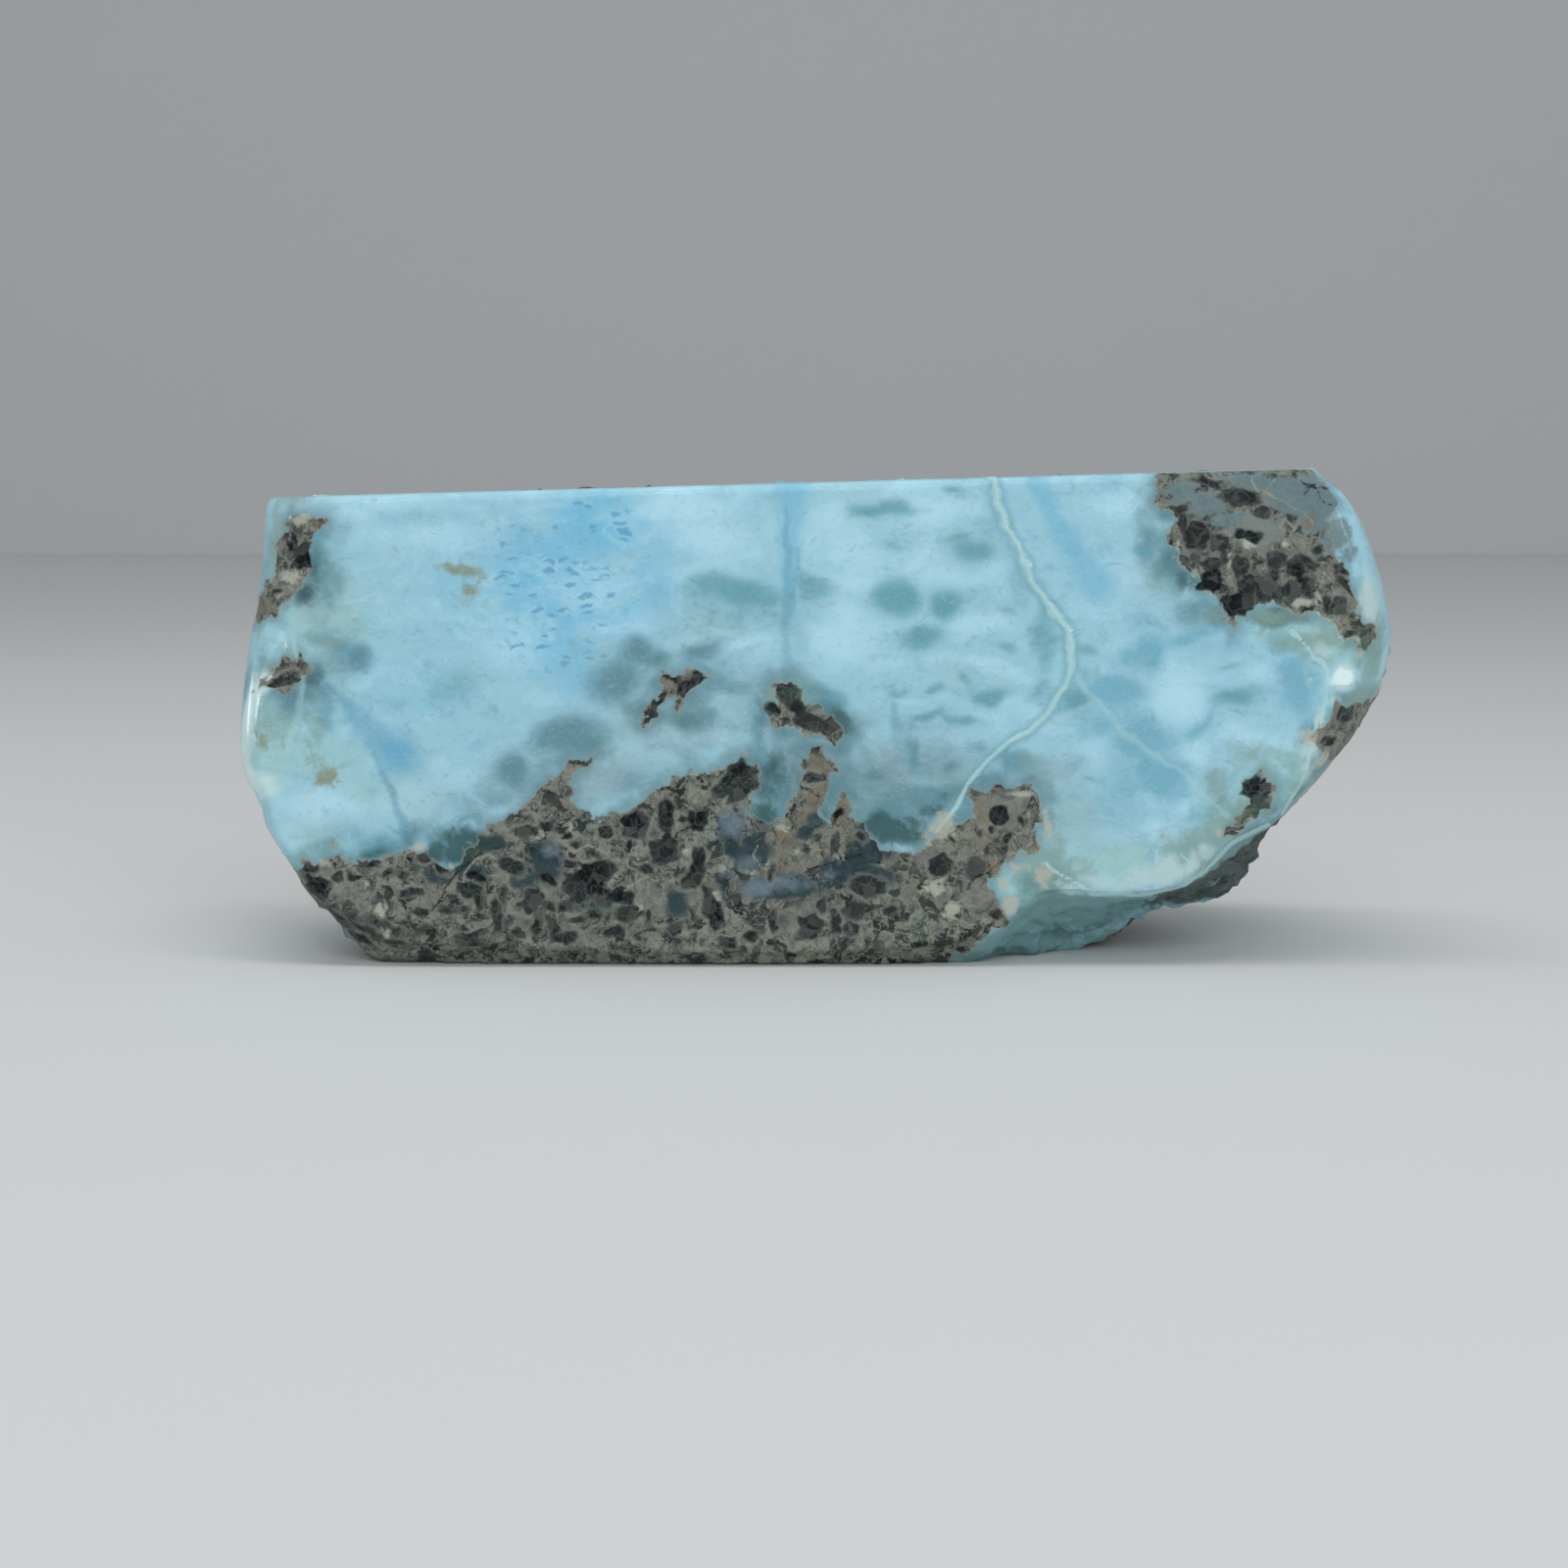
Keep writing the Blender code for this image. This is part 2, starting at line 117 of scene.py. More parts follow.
# Patches of colour in the larimar and of mineral in the basalt, each fading out from its middle:
# x, z, half length, half width in mm, tilt in degrees, strength
patches = {
    "cloud": [
        (-20.9, 22.9, 2.9, 0.57, 2, 0.8), (-6.5, 22.6, 2.9, 1, 0, 1), (-9.3, 22.0, 2.1, 0.67, 0, 0.5),
        (-5.5, 21.3, 2.9, 1.2, -10, 0.8), (-17.3, 22.8, 2.4, 0.38, 0, 0.5),
        (-11.2, 16.8, 1.9, 0.57, 20, 0.4), (-9.3, 16.8, 2.9, 0.67, 10, 0.5), (-24.3, 8.1, 2.4, 1.2, 0, 0.9),
        (-25.7, 6.7, 1.2, 1, 0, 0.7), (-19.9, 8.4, 2.9, 0.95, 10, 0.7), (-17.5, 9.1, 1.9, 0.76, 20, 0.6),
        (-11.3, 9.0, 1.2, 0.86, 0, 0.9), (-10.0, 10.6, 1, 0.67, 0, 0.7), (-7.7, 11.4, 2, 0.57, 8, 1),
        (-5.3, 11.6, 1.3, 0.57, 0, 0.8), (-9.4, 10.3, 1.9, 0.48, 10, 0.8),
        (-13.2, 10.6, 1.2, 0.57, 30, 0.6), (-13.9, 12.0, 1.9, 0.67, 20, 0.5),
        (-6.5, 13.9, 0.76, 0.48, 0, 0.3), (-3.6, 16.0, 1.4, 0.29, 12, 0.8),
        (-2.7, 15.4, 0.48, 0.86, 0, 0.5), (-4.8, 15.2, 0.67, 0.48, 0, 0.4), (-6.5, 16.3, 2.9, 0.38, 5, 0.5),
        (0.7, 22.2, 1.7, 1, 0, 0.74), (4.5, 23.4, 2.4, 0.67, 0, 0.66), (1.2, 19.1, 2.9, 0.67, 0, 0.74),
        (6.9, 19.1, 2.9, 0.76, 0, 0.66), (0.7, 16.3, 2.4, 1, 0, 0.82), (7.8, 16.8, 2.4, 0.57, 0, 0.74),
        (4.5, 19.9, 1.9, 0.48, 0, 0.57), (8.3, 14.9, 1.7, 0.38, -12, 0.66), (5.9, 15.2, 1.4, 0.38, 0, 0.49),
        (9.4, 14.3, 1.2, 0.38, -15, 0.66), (3.1, 14.9, 1.9, 0.48, 0, 0.57), (4.5, 13.3, 1.4, 0.24, 0, 0.57),
        (8.3, 12.7, 1.4, 0.29, 5, 0.57), (9.7, 15.8, 0.95, 0.48, 0, 0.33), (14.9, 22.7, 1.9, 1, -10, 0.82),
        (16.3, 22.0, 1.6, 1.2, 0, 0.66), (13.5, 17.7, 1.6, 0.76, -35, 0.49),
        (15.4, 18.7, 2.1, 0.67, 10, 0.41), (17.3, 13.5, 1.7, 1.9, 0, 0.82),
        (16.5, 12.0, 1.2, 0.86, 0, 0.66), (19.3, 14.4, 1.2, 0.76, 0, 0.49),
        (21.4, 14.4, 0.86, 0.76, 0, 0.57), (18.4, 10.8, 1, 0.95, 0, 0.74), (21.0, 11.4, 1.9, 0.67, 0, 0.74),
        (22.2, 10.6, 1, 0.86, 0, 0.49), (13.5, 10.7, 1.5, 1, -20, 0.61), (14.1, 9.6, 1.1, 0.48, 0, 0.41),
        (17.8, 8.1, 1, 0.67, -25, 0.74), (16.7, 6.6, 2, 0.57, -5, 0.74), (14.6, 6.3, 1.4, 0.57, 0, 0.49),
        (12.2, 6.7, 0.95, 0.67, 0, 0.33), (19.9, 6.7, 1.1, 0.38, 20, 0.41),
        (3.1, 10.6, 0.57, 0.29, 0, 0.41), (1.6, 9.1, 0.76, 0.67, 0, 0.41), (3.3, 8.4, 0.67, 0.38, 0, 0.33),
        (5.5, 10.8, 0.67, 0.29, 0, 0.41), (7.2, 9.6, 0.95, 0.57, -40, 0.41), (-18.3, 21.0, 2.8, 1, 2, 0.7),
        (-21.1, 21.1, 2.4, 0.95, 2, 0.6), (4.5, 20.1, 3.3, 0.95, 0, 0.55), (4.5, 22.5, 3.3, 0.76, 0, 0.9),
        (-23.5, 22.3, 2.8, 0.57, 2, 0.9), (-5.4, 19.2, 2.4, 1, 0, 0.7), (-28.0, 10.9, 0.66, 1.4, 0, 0.6),
        (-11.2, 18.5, 2.7, 1.4, 0, 0.6), (-15.0, 15.4, 2.4, 1.6, 10, 0.6), (-1.1, 21.3, 1.7, 1.9, 0, 0.6),
        (1.5, 20.6, 1.9, 2.3, 0, 0.7), (1.7, 16.8, 1.7, 2.3, 0, 0.7), (4.5, 16.8, 1.9, 1.2, 0, 0.4),
        (-9.3, 16.8, 1.9, 0.95, -10, 0.5),
    ],
    "sky": [
        (-12.6, 18.7, 4.5, 2.9, -28, 0.95), (-10.9, 21.5, 2.9, 1.6, 0, 1),
        (-13.1, 15.6, 3.3, 1.9, -20, 0.8), (-16.9, 16.8, 2.4, 2.4, 0, 0.4), (-8.4, 18.7, 2.4, 2.1, 0, 0.55),
        (-9.3, 22.5, 1.9, 0.76, -30, 0.8), (-6.9, 20.6, 1.9, 1.4, 0, 0.4),
        (-20.6, 10.6, 1.2, 0.95, -40, 0.8), (-19.8, 13.9, 2.9, 1.9, 0, 0.35),
        (-18.3, 18.7, 2.4, 2.9, 0, 0.3),
    ],
    "mint": [
        (-24.1, 16.8, 2.4, 3.3, 0, 0.9), (-26.8, 11.0, 1.4, 2.9, 0, 1), (-23.0, 23.4, 3.8, 0.76, 0, 0.5),
        (-24.2, 11.0, 2.4, 2.4, 0, 0.7), (-25.0, 6.7, 1.9, 2.4, 0, 0.6), (10.8, 4.0, 2.4, 1.6, 0, 1),
        (15.1, 5.2, 3.3, 1.2, 0, 1), (19.5, 6.2, 2.4, 1.2, 20, 0.8), (23.7, 9.1, 1.9, 2.4, 0, 0.8),
        (25.9, 16.3, 1.6, 2.4, 0, 0.9), (23.5, 16.8, 2.4, 0.95, 0, 0.8), (3.0, 22.5, 2.9, 1.9, 0, 0.55),
        (6.8, 20.6, 2.9, 1.9, 0, 0.4), (12.2, 5.7, 2.9, 1.4, 0, 0.7), (16.8, 21.5, 1.4, 1.9, 0, 0.3),
        (-4.6, 16.8, 2.9, 1.1, 0, 0.5), (12.7, 8.1, 2.4, 1.9, 0, 0.5), (21.8, 9.1, 1.9, 1.1, 0, 0.8),
        (5.9, 17.7, 4.3, 2.9, 0, 0.3), (7.8, 14.4, 3.3, 1.4, 0, 0.4), (-21.4, 8.5, 3.3, 1.3, 0, 0.7),
    ],
    "teal": [
        (-4.0, 18.5, 2.6, 0.95, -5, 0.95), (-0.3, 18.7, 1.1, 0.67, 0, 0.8), (2.9, 22.5, 1.6, 0.57, 0, 0.9),
        (3.3, 20.7, 1.1, 0.33, 0, 0.5), (6.3, 23.5, 0.62, 0.29, 0, 0.7), (6.6, 21.2, 0.95, 0.29, 0, 0.7),
        (7.3, 20.5, 1.4, 0.81, -5, 0.9), (3.7, 18.2, 1.2, 0.9, 0, 1), (6.2, 17.7, 1.1, 0.62, 0, 1),
        (4.9, 16.3, 1, 0.71, 0, 1), (9.1, 17.5, 0.52, 0.29, 0, 0.6), (9.1, 15.8, 0.71, 0.33, 0, 0.7),
        (7.3, 15.8, 0.33, 0.19, 0, 0.5), (7.3, 14.2, 0.43, 0.24, 0, 0.8), (5.8, 13.9, 0.57, 0.33, 0, 0.9),
        (8.2, 13.5, 1.2, 0.38, 0, 1), (5.5, 12.4, 0.86, 0.29, 5, 1), (6.9, 12.3, 0.86, 0.24, 0, 0.9),
        (3.9, 13.7, 0.57, 0.33, 45, 0.6), (13.0, 9.4, 0.57, 0.19, 0, 0.7), (13.0, 15.5, 0.67, 0.33, 0, 0.7),
        (15.9, 20.3, 0.81, 0.33, 0, 0.8), (20.4, 13.2, 1.3, 0.57, 0, 0.9), (19.8, 14.8, 1, 0.29, 20, 0.6),
        (12.5, 13.3, 0.71, 0.81, 20, 1), (-17.6, 13.9, 1.5, 0.95, 0, 0.5), (-21.8, 6.1, 1.1, 0.76, 0, 0.9),
        (-23.6, 6.2, 0.67, 0.48, 0, 0.5), (0.3, 12.9, 1.1, 0.86, 0, 0.8), (-3.6, 17.7, 3.8, 1.1, 0, 0.5),
        (9.7, 18.7, 0.67, 1.4, -20, 0.5), (11.0, 16.3, 0.67, 1.6, -10, 0.7),
        (10.8, 13.9, 0.95, 0.76, 30, 0.6), (-1.1, 16.3, 0.67, 1.9, 0, 0.4), (9.8, 10.3, 1.5, 1, 0, 0.6),
        (7.1, 19.9, 0.67, 0.95, 0, 0.4), (18.4, 7.7, 1, 0.76, 0, 0.5),
    ],
    "deep": [
        (15.9, 15.4, 1.3, 0.95, 30, 0.9), (14.3, 13.5, 1.7, 0.86, 0, 1), (15.7, 11.2, 1.6, 1.6, -45, 1),
        (16.7, 9.5, 1.5, 1.2, 0, 1), (18.2, 16.3, 2, 0.48, 18, 0.8), (16.9, 15.8, 0.95, 0.57, 20, 0.6),
        (23.4, 14.1, 1, 1.7, 0, 1), (22.8, 16.1, 1.4, 0.76, -20, 0.7), (24.0, 12.2, 0.67, 1.1, 0, 0.6),
        (18.5, 12.1, 1.2, 0.38, 40, 0.8), (15.9, 16.8, 1.4, 0.67, 0, 0.5), (13.6, 12.2, 1.1, 0.67, 0, 0.8),
        (13.0, 14.4, 0.76, 0.67, 0, 0.7), (15.1, 9.1, 1.6, 0.86, 0, 0.7), (17.5, 9.8, 0.86, 0.57, 40, 0.7),
        (19.7, 9.1, 1.1, 0.76, 0, 0.4), (19.3, 15.8, 1.9, 0.57, 10, 0.5), (12.6, 12.0, 0.67, 0.48, 0, 0.6),
        (12.5, 8.6, 1.4, 0.67, 0, 0.5), (14.6, 9.1, 1.6, 2.8, 0, 0.6),
    ],
    "grey": [
        (-11.3, 9.1, 4.3, 1.6, 12, 0.9), (-15.1, 9.1, 2.4, 1.7, 30, 0.7), (-7.4, 12.0, 3.6, 1.9, 0, 0.8),
        (-1.7, 9.6, 2.9, 2.4, 0, 1), (3.1, 9.1, 2.9, 2.1, 0, 1), (-2.7, 13.0, 2.9, 2.4, 0, 0.7),
        (-19.0, 8.1, 2.9, 1.6, 0, 0.45), (-24.3, 6.9, 2.9, 1.2, 0, 0.4), (6.0, 9.6, 2.9, 1.9, -30, 0.8),
        (10.8, 9.6, 2.4, 1.4, 0, 0.7), (12.7, 7.2, 2.4, 1.7, 0, 0.5), (1.2, 12.0, 3.3, 1.4, 0, 0.55),
        (-9.3, 13.9, 3.3, 1.9, 0, 0.4), (-25.9, 22.0, 1.2, 1.9, 0, 0.7), (16.8, 23.2, 1.1, 0.67, 0, 0.5),
        (16.4, 18.7, 1.9, 1.6, 0, 0.4), (19.5, 4.3, 2.9, 1.9, 0, 0.7), (-6.5, 16.8, 2.9, 1.4, 0, 0.3),
        (5.5, 12.0, 2.9, 0.95, 0, 0.4), (14.2, 6.2, 2.4, 0.95, 0, 0.3), (-24.1, 17.7, 1.4, 2.9, 0, 0.5),
        (-3.6, 11.0, 1.9, 1.9, 0, 0.6), (3.1, 9.5, 4.5, 2, 0, 0.8), (26.5, 13.9, 1.4, 1.9, 0, 0.4),
    ],
    "slate": [
        (-12.1, 11.5, 2.1, 1.1, -5, 1), (-13.2, 11.0, 1.4, 0.95, 0, 0.6), (-14.9, 9.6, 1.2, 1.2, 0, 1),
        (-16.1, 8.4, 0.86, 0.57, 0, 0.6), (-9.7, 14.2, 1.6, 1.2, 20, 1), (-8.4, 15.4, 1.6, 0.86, 0, 0.95),
        (-5.7, 15.8, 1.1, 0.57, 0, 0.8), (-4.5, 14.1, 1.3, 0.76, 0, 0.75), (-6.5, 12.3, 1.5, 0.62, 0, 0.85),
        (-8.6, 13.0, 1, 0.67, 0, 0.7), (-7.2, 13.7, 1.4, 0.86, 0, 0.7), (-3.1, 11.9, 0.48, 2.3, 0, 0.75),
        (-2.4, 13.9, 0.95, 1.2, 0, 0.6), (-1.6, 10.0, 1.4, 1.6, 0, 0.75), (-9.1, 9.1, 0.86, 0.62, 0, 0.6),
        (2.7, 9.3, 0.71, 0.48, 0, 1), (6.3, 10.1, 0.57, 0.38, 0, 0.9), (4.5, 10.5, 0.43, 1, -18, 0.8),
        (1.6, 11.8, 0.76, 0.76, 0, 0.5), (3.9, 7.8, 2, 1, 0, 0.95), (2.2, 12.1, 0.95, 0.43, 0, 0.5),
        (2.0, 10.6, 0.57, 0.48, 0, 0.4), (-22.7, 15.2, 1, 0.9, 0, 0.95), (-23.7, 15.7, 0.95, 0.67, 0, 0.6),
        (-25.7, 13.2, 0.95, 0.95, 0, 0.8), (-24.4, 13.7, 1.2, 0.86, -20, 0.7),
        (-24.6, 12.5, 0.48, 0.76, 0, 0.5), (-17.3, 7.8, 1.1, 0.67, 0, 0.5), (0.7, 11.0, 0.76, 0.67, 0, 0.6),
        (5.0, 11.8, 1.2, 0.48, 0, 0.4), (-0.3, 9.1, 0.95, 1.1, 0, 0.6), (7.9, 10.6, 0.95, 0.48, -40, 0.6),
        (-5.0, 14.4, 1.9, 1.4, 0, 0.4), (-24.2, 20.6, 0.76, 1.6, 0, 0.8), (-23.3, 21.3, 0.76, 1.4, 0, 0.4),
        (17.3, 19.1, 0.57, 1.2, -20, 0.7), (18.8, 17.7, 1.1, 0.48, -30, 0.6),
        (16.5, 23.4, 0.48, 0.95, 0, 0.5), (21.9, 17.4, 1.9, 0.38, 5, 0.9), (7.2, 7.4, 0.95, 0.67, 0, 0.6),
        (-6.5, 11.0, 2.9, 0.48, 10, 0.3), (-2.8, 10.8, 0.86, 0.95, 0, 0.8), (-2.2, 9.1, 1.3, 1.9, 0, 1),
        (-0.6, 10.8, 0.67, 0.76, 0, 0.8), (5.5, 8.5, 2.4, 0.86, 0, 1), (9.3, 10.2, 1.4, 0.95, -30, 0.8),
        (3.6, 7.6, 1.4, 0.67, 0, 1), (16.1, 20.5, 0.76, 1.6, 0, 0.8), (17.1, 19.9, 0.86, 1.4, -20, 1),
        (18.2, 17.5, 1.2, 0.95, -20, 0.8), (16.1, 22.0, 0.67, 1.4, 0, 0.5), (19.3, 17.2, 1, 0.57, 0, 0.9),
        (-20.0, 6.7, 1.2, 0.67, 0, 0.8), (-18.6, 6.4, 0.95, 0.67, 0, 0.9), (-23.7, 15.1, 1.1, 0.95, 0, 0.7),
        (-23.7, 19.2, 0.86, 1.6, 0, 0.7), (-1.7, 11.5, 1.1, 0.95, 0, 0.6), (8.4, 9.1, 1.1, 0.67, -20, 0.7),
        (6.7, 8.4, 0.95, 0.57, 0, 0.8), (2.1, 9.1, 2.4, 1.4, 0, 0.6), (6.0, 10.1, 1.9, 1.2, 0, 0.5),
        (17.1, 22.3, 0.66, 0.66, 0, 0.9), (0.5, 8.8, 1.2, 0.95, 0, 0.8),
    ],
    "ink": [
        (-17.1, 6.1, 1.4, 1, -15, 1), (-18.4, 5.7, 0.86, 0.57, 0, 0.9), (-15.9, 6.7, 0.76, 0.57, 0, 0.8),
        (0.7, 12.2, 1.1, 0.71, -20, 0.8), (-24.8, 21.3, 0.57, 0.95, 0, 0.4),
        (-24.6, 18.4, 0.67, 0.76, 0, 0.8), (-24.5, 19.6, 0.57, 1.2, 0, 0.6), (3.0, 7.0, 0.95, 0.57, 0, 1),
        (4.8, 7.3, 0.86, 0.48, 0, 0.7), (-24.7, 14.4, 0.76, 0.57, 0, 0.6), (-21.8, 5.8, 0.86, 0.38, 0, 0.7),
        (20.1, 17.4, 0.48, 0.38, 0, 0.6), (6.0, 8.5, 0.57, 0.38, 0, 0.5), (19.9, 8.2, 1.1, 0.48, 30, 0.5),
        (-3.1, 13.0, 0.48, 0.95, 0, 0.4), (-0.1, 11.8, 0.57, 0.48, 0, 0.5), (22.3, 17.6, 1.1, 0.24, 0, 0.8),
        (13.3, 1.8, 2.9, 0.76, -10, 0.5), (3.8, 6.6, 1.7, 0.71, 0, 1), (-2.8, 7.4, 0.95, 0.76, 0, 0.9),
        (-17.1, 5.3, 1.6, 0.67, -10, 1), (-18.6, 5.5, 0.86, 0.57, 0, 1), (17.7, 19.2, 0.48, 0.86, -30, 0.7),
        (17.1, 20.6, 0.29, 0.67, 0, 0.5), (21.5, 7.8, 0.95, 0.67, 20, 0.6), (5.7, 7.9, 1, 0.38, 0, 0.7),
        (7.9, 8.5, 0.67, 0.38, -30, 0.5), (-1.7, 9.7, 1.3, 1.2, 0, 0.7), (-2.8, 8.6, 0.95, 0.85, 0, 0.6),
        (0.4, 7.6, 1.1, 0.85, 0, 0.6), (21.9, 17.2, 2, 0.43, 2, 0.9), (18.1, 19.1, 0.95, 0.66, -30, 0.7),
    ],
    "green": [
        (-26.6, 20.8, 0.43, 2.3, 0, 1), (-25.8, 22.9, 1, 0.43, 0, 0.8), (21.8, 10.6, 1.9, 1.2, 0, 0.6),
        (20.5, 7.7, 1.6, 0.95, 20, 0.9), (19.6, 8.9, 1, 1, 0, 0.8), (21.8, 8.4, 0.95, 0.76, 0, 0.7),
        (24.6, 16.5, 1, 0.67, 0, 1), (25.4, 16.8, 1.2, 1.1, -20, 0.8), (26.9, 15.8, 0.76, 1.6, 0, 1),
        (24.3, 15.6, 0.86, 0.67, 0, 0.7), (18.0, 6.2, 1.6, 0.57, 15, 0.6), (23.7, 9.6, 1.2, 1.9, 0, 0.7),
        (-24.1, 16.1, 0.86, 0.43, 0, 0.8), (-26.4, 12.0, 1, 1.4, 0, 0.6), (-24.8, 11.8, 0.86, 1.4, 0, 0.6),
        (10.3, 10.3, 1.2, 0.67, 0, 0.5), (11.5, 6.2, 0.86, 1.6, 0, 0.6), (26.3, 13.0, 0.95, 0.95, 0, 0.8),
        (16.4, 19.1, 1, 1.1, 0, 0.4), (-1.7, 13.3, 1.4, 1.2, 0, 0.9), (22.1, 16.8, 1.9, 0.57, 0, 0.5),
        (-27.1, 15.8, 1, 1.9, 0, 0.5), (9.9, 2.8, 1.9, 0.95, 0, 0.5), (15.3, 23.2, 0.95, 0.48, 0, 0.2),
        (11.5, 5.0, 1.6, 0.95, 0, 0.7), (13.2, 4.4, 1.1, 0.57, 0, 0.5), (19.2, 6.9, 1.1, 0.86, 0, 0.6),
        (21.6, 17.3, 2.1, 0.48, 3, 0.9), (19.2, 17.2, 0.95, 0.48, 0, 0.6), (18.3, 6.1, 1.6, 1.1, 0, 1),
        (11.0, 5.4, 1.1, 1, 0, 1), (12.7, 4.4, 1.2, 0.85, -10, 0.9), (-28.0, 13.9, 0.57, 1.4, 0, 0.5),
        (18.5, 5.2, 1.7, 0.95, 0, 1), (10.3, 4.4, 0.85, 1.2, 0, 0.9), (27.0, 16.3, 0.76, 2.8, 0, 1),
        (23.6, 16.2, 1.9, 0.66, 0, 0.9), (19.4, 6.6, 1.4, 0.95, 0, 1), (12.1, 4.6, 1.4, 0.95, 0, 1),
    ],
    # Pale milky mineral on the chipped lip and the ends, and painted highlights: the marks on the knob of
    # the right end and on the lens chip of the left end are painted highlight
    "milkAndHighlight": [
        (17.2, 4.8, 0.86, 0.95, -8, 1), (18.3, 5.1, 0.67, 0.76, 0, 0.8), (15.9, 4.5, 1.2, 0.86, 0, 0.7),
        (13.6, 4.3, 1.2, 0.48, -10, 0.8), (12.7, 5.1, 0.57, 0.57, 0, 0.5),
        (12.3, 3.9, 0.86, 0.38, -20, 0.8), (25.6, 14.3, 0.81, 0.81, 0, 1),
        (24.5, 15.6, 0.67, 0.48, -30, 0.7), (25.1, 13.2, 0.67, 0.48, 0, 0.6),
        (23.9, 13.9, 0.29, 1.4, 12, 0.5), (24.4, 12.2, 0.33, 0.86, 0, 0.8),
        (23.9, 10.8, 0.67, 0.57, 0, 0.8), (23.9, 9.6, 0.57, 1, 20, 0.6), (-27.9, 10.8, 0.38, 2.2, -6, 1),
        (-27.4, 13.9, 0.48, 0.95, -25, 0.7), (-26.2, 9.1, 0.95, 0.48, 0, 0.3),
        (26.8, 18.2, 0.76, 1.5, 15, 0.9), (24.9, 22.0, 0.43, 1.1, 35, 0.6),
        (19.0, 5.7, 0.57, 0.67, 30, 0.6), (-24.8, 8.0, 0.48, 0.67, 0, 0.4),
        (14.7, 4.0, 0.95, 0.38, -10, 0.6),
    ],
    "glass": [
        (18.4, 22.8, 1.7, 0.67, 0, 1), (17.5, 23.4, 1.1, 0.48, 0, 0.8), (20.4, 22.0, 1.1, 0.43, -10, 0.9),
        (19.6, 21.8, 1.2, 0.57, 0, 0.6), (22.0, 23.4, 1.9, 0.52, 0, 1), (23.0, 22.7, 1.2, 0.67, -10, 1),
        (24.1, 22.5, 1.2, 1.1, -50, 1), (25.1, 21.3, 0.76, 1, -40, 1), (25.7, 20.3, 0.57, 0.67, -40, 0.8),
        (21.0, 23.9, 2.9, 0.33, 0, 0.8), (-23.5, 1.3, 1.1, 0.43, 25, 0.8), (23.4, 23.9, 1.1, 0.33, 0, 0.9),
        (-12.1, 2.4, 0.43, 0.38, 0, 0.7), (-17.1, 4.0, 0.48, 0.29, 0, 0.6),
        (19.4, 20.8, 0.48, 0.29, 0, 0.4), (17.7, 21.8, 0.57, 0.38, 0, 0.6),
        (21.5, 22.7, 0.57, 0.33, 0, 0.6), (21.2, 21.5, 1.4, 0.76, 0, 1),
    ],
    "pool": [
        (-13.3, 5.2, 0.95, 1.1, 0, 1), (-14.0, 4.3, 0.48, 0.76, 0, 0.8), (-16.1, 6.1, 1, 0.48, 10, 1),
        (-4.0, 5.8, 0.76, 0.38, -10, 1), (-4.3, 6.7, 0.76, 1, 0, 0.7), (-3.2, 5.8, 1.1, 1.3, 0, 0.7),
        (-2.6, 7.3, 0.57, 1, 0, 0.6), (-1.7, 4.0, 2.6, 0.76, 0, 0.9), (1.5, 4.8, 1.5, 0.71, 12, 1),
        (2.7, 4.4, 1.1, 0.67, 0, 1), (-0.6, 6.7, 0.52, 0.38, 20, 0.9), (0.0, 7.3, 0.57, 0.48, 0, 0.8),
        (3.3, 6.9, 1.6, 0.86, 0, 1), (2.4, 6.0, 1, 0.43, 0, 0.9), (5.3, 6.7, 0.57, 0.76, 0, 0.8),
        (6.0, 5.2, 0.67, 0.57, 0, 0.6), (-7.0, 3.2, 0.71, 0.81, 0, 0.9), (-2.2, 9.1, 1.1, 1.3, 0, 0.7),
        (-4.8, 4.0, 0.43, 1, 0, 0.6), (7.7, 5.0, 0.52, 0.62, 0, 1), (2.1, 5.5, 1.9, 0.57, 12, 0.8),
        (-11.1, 7.7, 0.48, 0.76, 0, 0.5), (0.7, 5.2, 0.95, 0.57, 20, 0.7),
        (-18.7, 4.4, 0.86, 0.48, -20, 0.7), (-17.5, 5.0, 1.3, 0.48, -20, 0.9),
        (-14.4, 4.4, 0.95, 0.76, 0, 0.75), (2.5, 6.4, 1, 0.57, 0, 0.9), (17.4, 22.1, 0.48, 0.76, 0, 0.45),
        (-11.3, 3.4, 1.2, 0.95, 0, 0.5), (-17.6, 5.4, 0.76, 0.95, 0, 0.9),
        (-0.1, 13.9, 1.7, 0.57, -25, 0.8), (-1.7, 14.8, 0.66, 0.57, 0, 0.6),
        (-11.3, 3.4, 0.95, 0.66, 0, 0.6),
    ],
    "navy": [
        (19.2, 20.3, 1.2, 0.95, 30, 0.7), (18.5, 19.1, 0.86, 0.67, -30, 0.7),
        (23.0, 18.7, 0.76, 0.48, 0, 0.3), (20.4, 20.6, 1.4, 0.48, 0, 0.5), (-13.0, 4.0, 0.95, 0.67, 0, 0.4),
        (-8.9, 1.8, 1.2, 0.48, 0, 0.4), (-16.2, 1.6, 1.4, 0.48, 0, 0.4), (0.7, 2.5, 1.4, 0.76, 0, 0.3),
        (19.0, 20.8, 1.2, 1.1, 0, 0.9), (21.6, 18.7, 1.4, 0.66, 0, 0.9), (23.5, 19.9, 0.95, 0.66, 0, 0.6),
    ],
    "lilac": [
        (-3.0, 3.9, 1, 0.67, 0, 1), (-1.9, 4.2, 1.5, 0.57, 0, 0.8), (-4.2, 7.1, 0.86, 0.81, 0, 0.9),
        (-3.4, 5.2, 0.57, 0.62, 0, 0.7), (-2.2, 9.1, 0.95, 1.4, 0, 0.7), (-0.4, 4.1, 1, 0.48, 0, 0.6),
        (0.0, 7.2, 0.48, 0.33, 0, 0.5), (-13.1, 5.8, 0.57, 0.52, 0, 0.7), (-4.5, 4.8, 0.62, 0.52, 0, 0.6),
